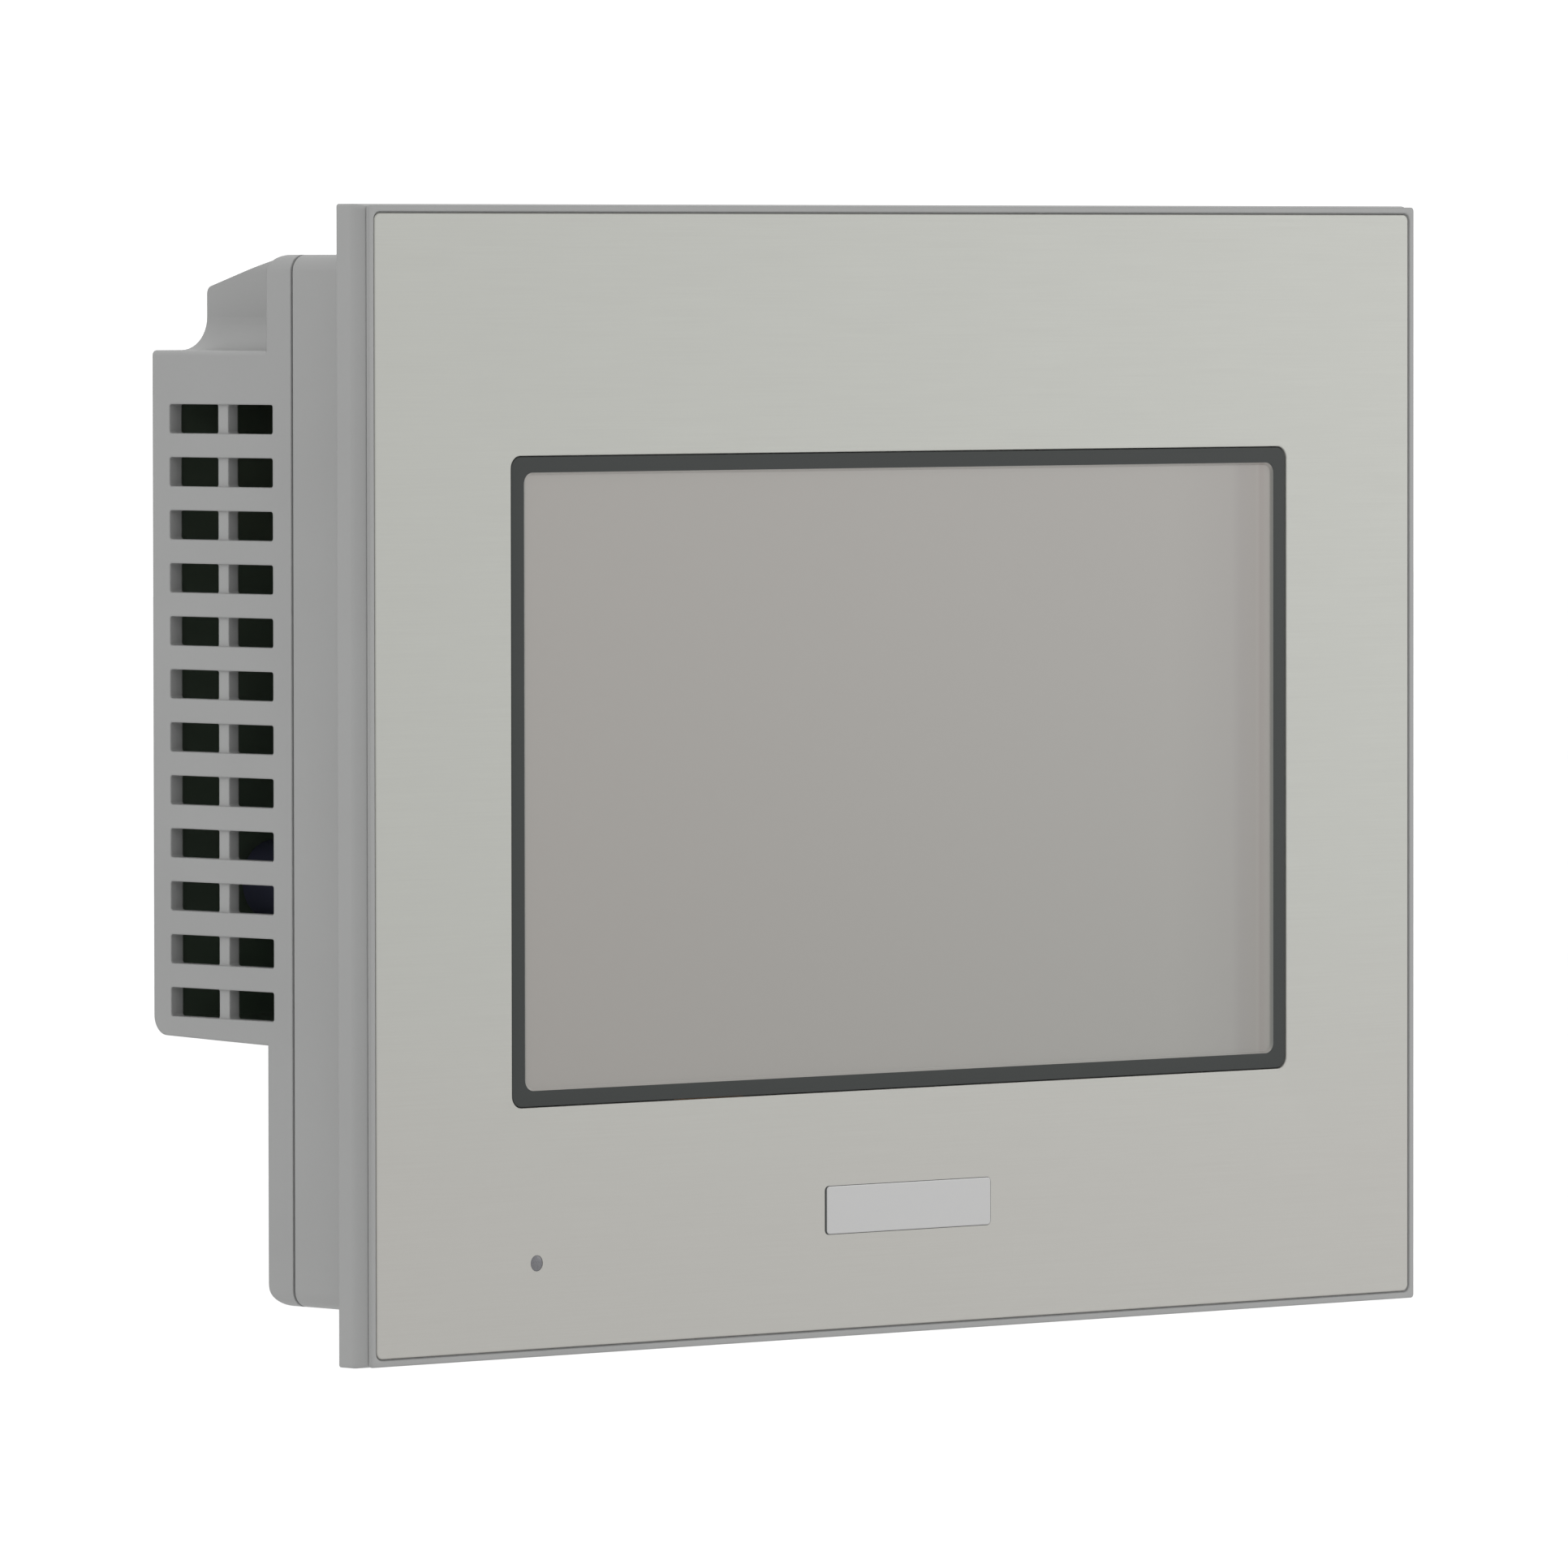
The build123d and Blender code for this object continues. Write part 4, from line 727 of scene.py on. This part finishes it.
def face_plate():
    """The metal sheet with softened edges, its window and the hole for the lamp."""
    hole = (SCREEN_W + 0.3, SCREEN_H + 0.3, SCREEN_CORNER + 0.1)
    # A hair behind the CAD's face, to stay inside its box
    front = PLATE_FRONT + 0.001
    rings = [
        (*hole, PLATE_BACK), (*hole, front + 0.20), grown(hole, 0.04, front + 0.07),
        grown(hole, 0.14, front), grown(SHEET, -0.26, front), grown(SHEET, -0.12, front + 0.04),
        grown(SHEET, -0.03, front + 0.13), (*SHEET, front + 0.28), (*SHEET, PLATE_BACK),
    ]
    piece = stack("face_sheet_panel", rings, "face_metal", closed=True, replaces=["face_plate"])
    lamp_centre = face_centre("status_window")
    cut(piece, [round_cutter(lamp_centre, LAMP_HOLE, PLATE_FRONT - 1.0, PLATE_BACK + 1.0)])


def badge():
    """The blank badge, a thin plate with rounded edges, and a dark sheet behind it that shows along its
    left as painted shadow.
    """
    width, height, front, back = span("badge_plate")
    centre = face_centre("badge_plate")
    outer = (width, height, 0.7)
    rings = [
        (*outer, back), grown(outer, -0.04, front + 0.25), grown(outer, -0.10, front + 0.09),
        grown(outer, -0.15, front + 0.03), grown(outer, -0.25, front),
    ]
    stack("badge_blank", list(reversed(rings)), "badge_metal", centre=centre, replaces=["badge_plate"])
    # Painted shadow: a dark sheet, shifted to the left, shows as the shadow along the badge's left edge
    shadow_sheet = (width + 0.26, height - 0.05, 0.75)
    shifted = (centre[0] - 0.16 * MM, centre[1])
    rings = [grown(shadow_sheet, -0.02, front + 0.09), (*shadow_sheet, front + 0.098), (*shadow_sheet, back)]
    stack("badge_painted_shadow", rings, "border_black", centre=shifted)


def lamp_lens():
    """The light pipe's end, a very shallow dome."""
    front, back = span("status_window")[2:]
    profile = [
        (0.30, front), (0.70, front + 0.01), (1.00, front + 0.03), (1.16, front + 0.06),
        (LAMP_RADIUS, front + 0.12), (LAMP_RADIUS, back),
    ]
    rings = [(2 * r, 2 * r, r - 0.001, y) for r, y in profile]
    centre = face_centre("status_window")
    stack("lamp_lens", rings, "lamp_window", centre=centre, replaces=["status_window"])


def border():
    """The black margin, with soft edges."""
    outer = (SCREEN_W, SCREEN_H, SCREEN_CORNER)
    front = SCREEN_FRONT
    rings = [
        grown(WINDOW, 0.10, BORDER_BACK), grown(WINDOW, 0.10, front + 0.03), grown(WINDOW, 0.16, front),
        grown(outer, -0.12, front), grown(outer, -0.02, front + 0.05), (*outer, BORDER_BACK),
    ]
    stack("border_print", rings, "border_black", closed=True, replaces=["screen_border"])


def film():
    """The film, dished over the picture area, with a thin rim inside the margin."""
    width, height, front, back = span("touch_film")
    outer = (width, height, SCREEN_CORNER)
    rings = [
        grown(WINDOW, -0.32, back - 0.02), grown(WINDOW, -0.24, back - 0.05),
        grown(WINDOW, 0.03, SCREEN_FRONT + 0.05), grown(WINDOW, 0.09, SCREEN_FRONT + 0.03),
        grown(WINDOW, 0.09, front), (*outer, front), (*outer, back),
    ]
    stack("film_sheet", rings, "screen_film", replaces=["touch_film"])


# ---------------------------------------------------------------- ports


def tapered_bar(outline, low, high, edge):
    """A bar along the height, with its lower edge bevelled; outline and heights in mm."""
    count = len(outline)
    middle_x, middle_y = (sum(point[k] for point in outline) / count for k in range(2))
    reach = max(abs(x - middle_x) for x, y in outline)
    points = []
    for height, factor in ((low, 1 - edge / reach), (low + edge, 1.0), (high, 1.0)):
        for x, y in outline:
            across = middle_x + (x - middle_x) * factor
            along = middle_y + (y - middle_y) * factor
            points.append((across * MM, along * MM, height * MM))
    return points, capped_faces(3, count)


def spring_strip(x, path, width, thick):
    """A bent metal strip across one x, along a path of (y, z); all in mm."""
    left, right = x - width / 2, x + width / 2
    points = []
    for k, (y, z) in enumerate(path):
        before, after = path[max(k - 1, 0)], path[min(k + 1, len(path) - 1)]
        along = Vector((after[0] - before[0], after[1] - before[1])).normalized()
        off = (along[1] * thick, -along[0] * thick)
        points += [(px * MM, y * MM, z * MM) for px in (left, right)]
        points += [(px * MM, (y + off[0]) * MM, (z + off[1]) * MM) for px in (right, left)]
    return points, capped_faces(len(path), 4)


def add_solids(name, solids, slot):
    """One piece from several closed solids."""
    smooth(add_piece(name, *joined(solids), slot))


def port_corner(node):
    """The middle of a port's width, its front and its mouth, in mm."""
    low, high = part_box(node)
    return (low.x + high.x) / 2 / MM, low.y / MM, low.z / MM


def network_contacts():
    """The bent spring wires in the network jack."""
    wires, pitch = 8, 1.02
    x, y, z = port_corner("lan_jack")
    bend = [
        (y + 2.30, z + 12.6), (y + 2.35, z + 9.8), (y + 4.9, z + 3.6),
        (y + 4.6, z + 2.7), (y + 2.5, z + 2.2),
    ]
    strips = [spring_strip(x + (k - (wires - 1) / 2) * pitch, bend, 0.45, 0.30) for k in range(wires)]
    add_solids("network_contacts", strips, "pillar_brass")


def usb_tongues():
    """The sleeve and the four contacts on the tongue of each USB socket."""
    x, y, z = port_corner("usb_ports")
    left, right = x - 5.55, x + 5.55
    sleeves, strips = [], []
    for level in (4.2, 11.4):
        near, far = y + level - 0.05, y + level + 1.85
        outline = [(left, near), (right, near), (right, far), (left, far)]
        sleeves.append(tapered_bar(outline, z + 0.94, z + 10.9, 0.35))
        for offset in (-3.5, -1.0, 1.0, 3.5):
            run = [(near - 0.01, z + 10.5), (near - 0.01, z + 4.0), (near - 0.01, z + 2.0)]
            strips.append(spring_strip(x + offset, run, 1.0, 0.12))
    add_solids("usb_tongue_sleeves", sleeves, "black_plastic")
    add_solids("usb_contacts", strips, "pillar_brass")


def serial_insulator():
    """The insulating block that holds the serial port's pins."""
    x, front, mouth = port_corner("serial_port")
    middle = (front + span("serial_port")[3]) / 2
    near, far = middle - 3.5, middle + 3.5
    wide, narrow = 7.7, 6.4
    outline = [(x - wide, far), (x + wide, far), (x + narrow, near), (x - narrow, near)]
    face = mouth + 5.5
    add_solids("serial_insulator", [tapered_bar(outline, face - 1.2, face, 0.2)], "black_plastic")


bezel()
face_plate()
badge()
lamp_lens()
border()
film()
network_contacts()
usb_tongues()
serial_insulator()

# ---------------------------------------------------------------- studio


def add_light(name, place, target, size, power):
    """A large square soft light that faces a target."""
    data = bpy.data.lights.new(name, "AREA")
    data.size = size
    data.energy = power
    light = bpy.data.objects.new(name, data)
    bpy.context.scene.collection.objects.link(light)
    aim = (Vector(target) - Vector(place)).to_track_quat("-Z", "Y")
    light.matrix_world = Matrix.Translation(Vector(place)) @ aim.to_matrix().to_4x4()


def add_floor():
    """A wide pale floor, well below the panel."""
    reach = 8.0
    level = CAD_BOX[0].z - 0.12
    corners = [(x * reach, y * reach, level) for x, y in ((-1, -1), (1, -1), (1, 1), (-1, 1))]
    mesh = bpy.data.meshes.new("floor")
    mesh.from_pydata(corners, [], [(0, 1, 2, 3)])
    floor = bpy.data.objects.new("floor", mesh)
    bpy.context.scene.collection.objects.link(floor)
    s = Shader("floor_paper")
    s.colour(s.ramp(s.noise(0.3), [(0.3, (0.83, 0.83, 0.83)), (0.7, (0.85, 0.85, 0.85))]))
    s.set(Roughness=0.9)
    mesh.materials.append(s.material)


def add_world():
    """White surroundings, a little brighter towards the top."""
    world = bpy.data.worlds.new("studio")
    bpy.context.scene.world = world
    world.use_nodes = True
    tree = world.node_tree
    place = tree.nodes.new("ShaderNodeTexCoord")
    split = tree.nodes.new("ShaderNodeSeparateXYZ")
    ramp = tree.nodes.new("ShaderNodeValToRGB")
    ramp.color_ramp.elements[0].color = (0.90, 0.90, 0.90, 1.0)
    ramp.color_ramp.elements[1].color = (1.0, 1.0, 1.0, 1.0)
    tree.links.new(place.outputs["Generated"], split.inputs["Vector"])
    tree.links.new(split.outputs["Z"], ramp.inputs["Fac"])
    tree.links.new(ramp.outputs["Color"], tree.nodes["Background"].inputs["Color"])
    tree.nodes["Background"].inputs["Strength"].default_value = 1.28


add_world()
add_floor()
add_light("key", (0.60, -0.42, 0.17), (0.03, 0.0, 0.0), 0.5, 1.3)
add_light("side", (-0.60, -0.20, 0.40), (-0.08, 0.02, 0.0), 0.4, 0.6)
bpy.context.scene.view_settings.view_transform = "Standard"
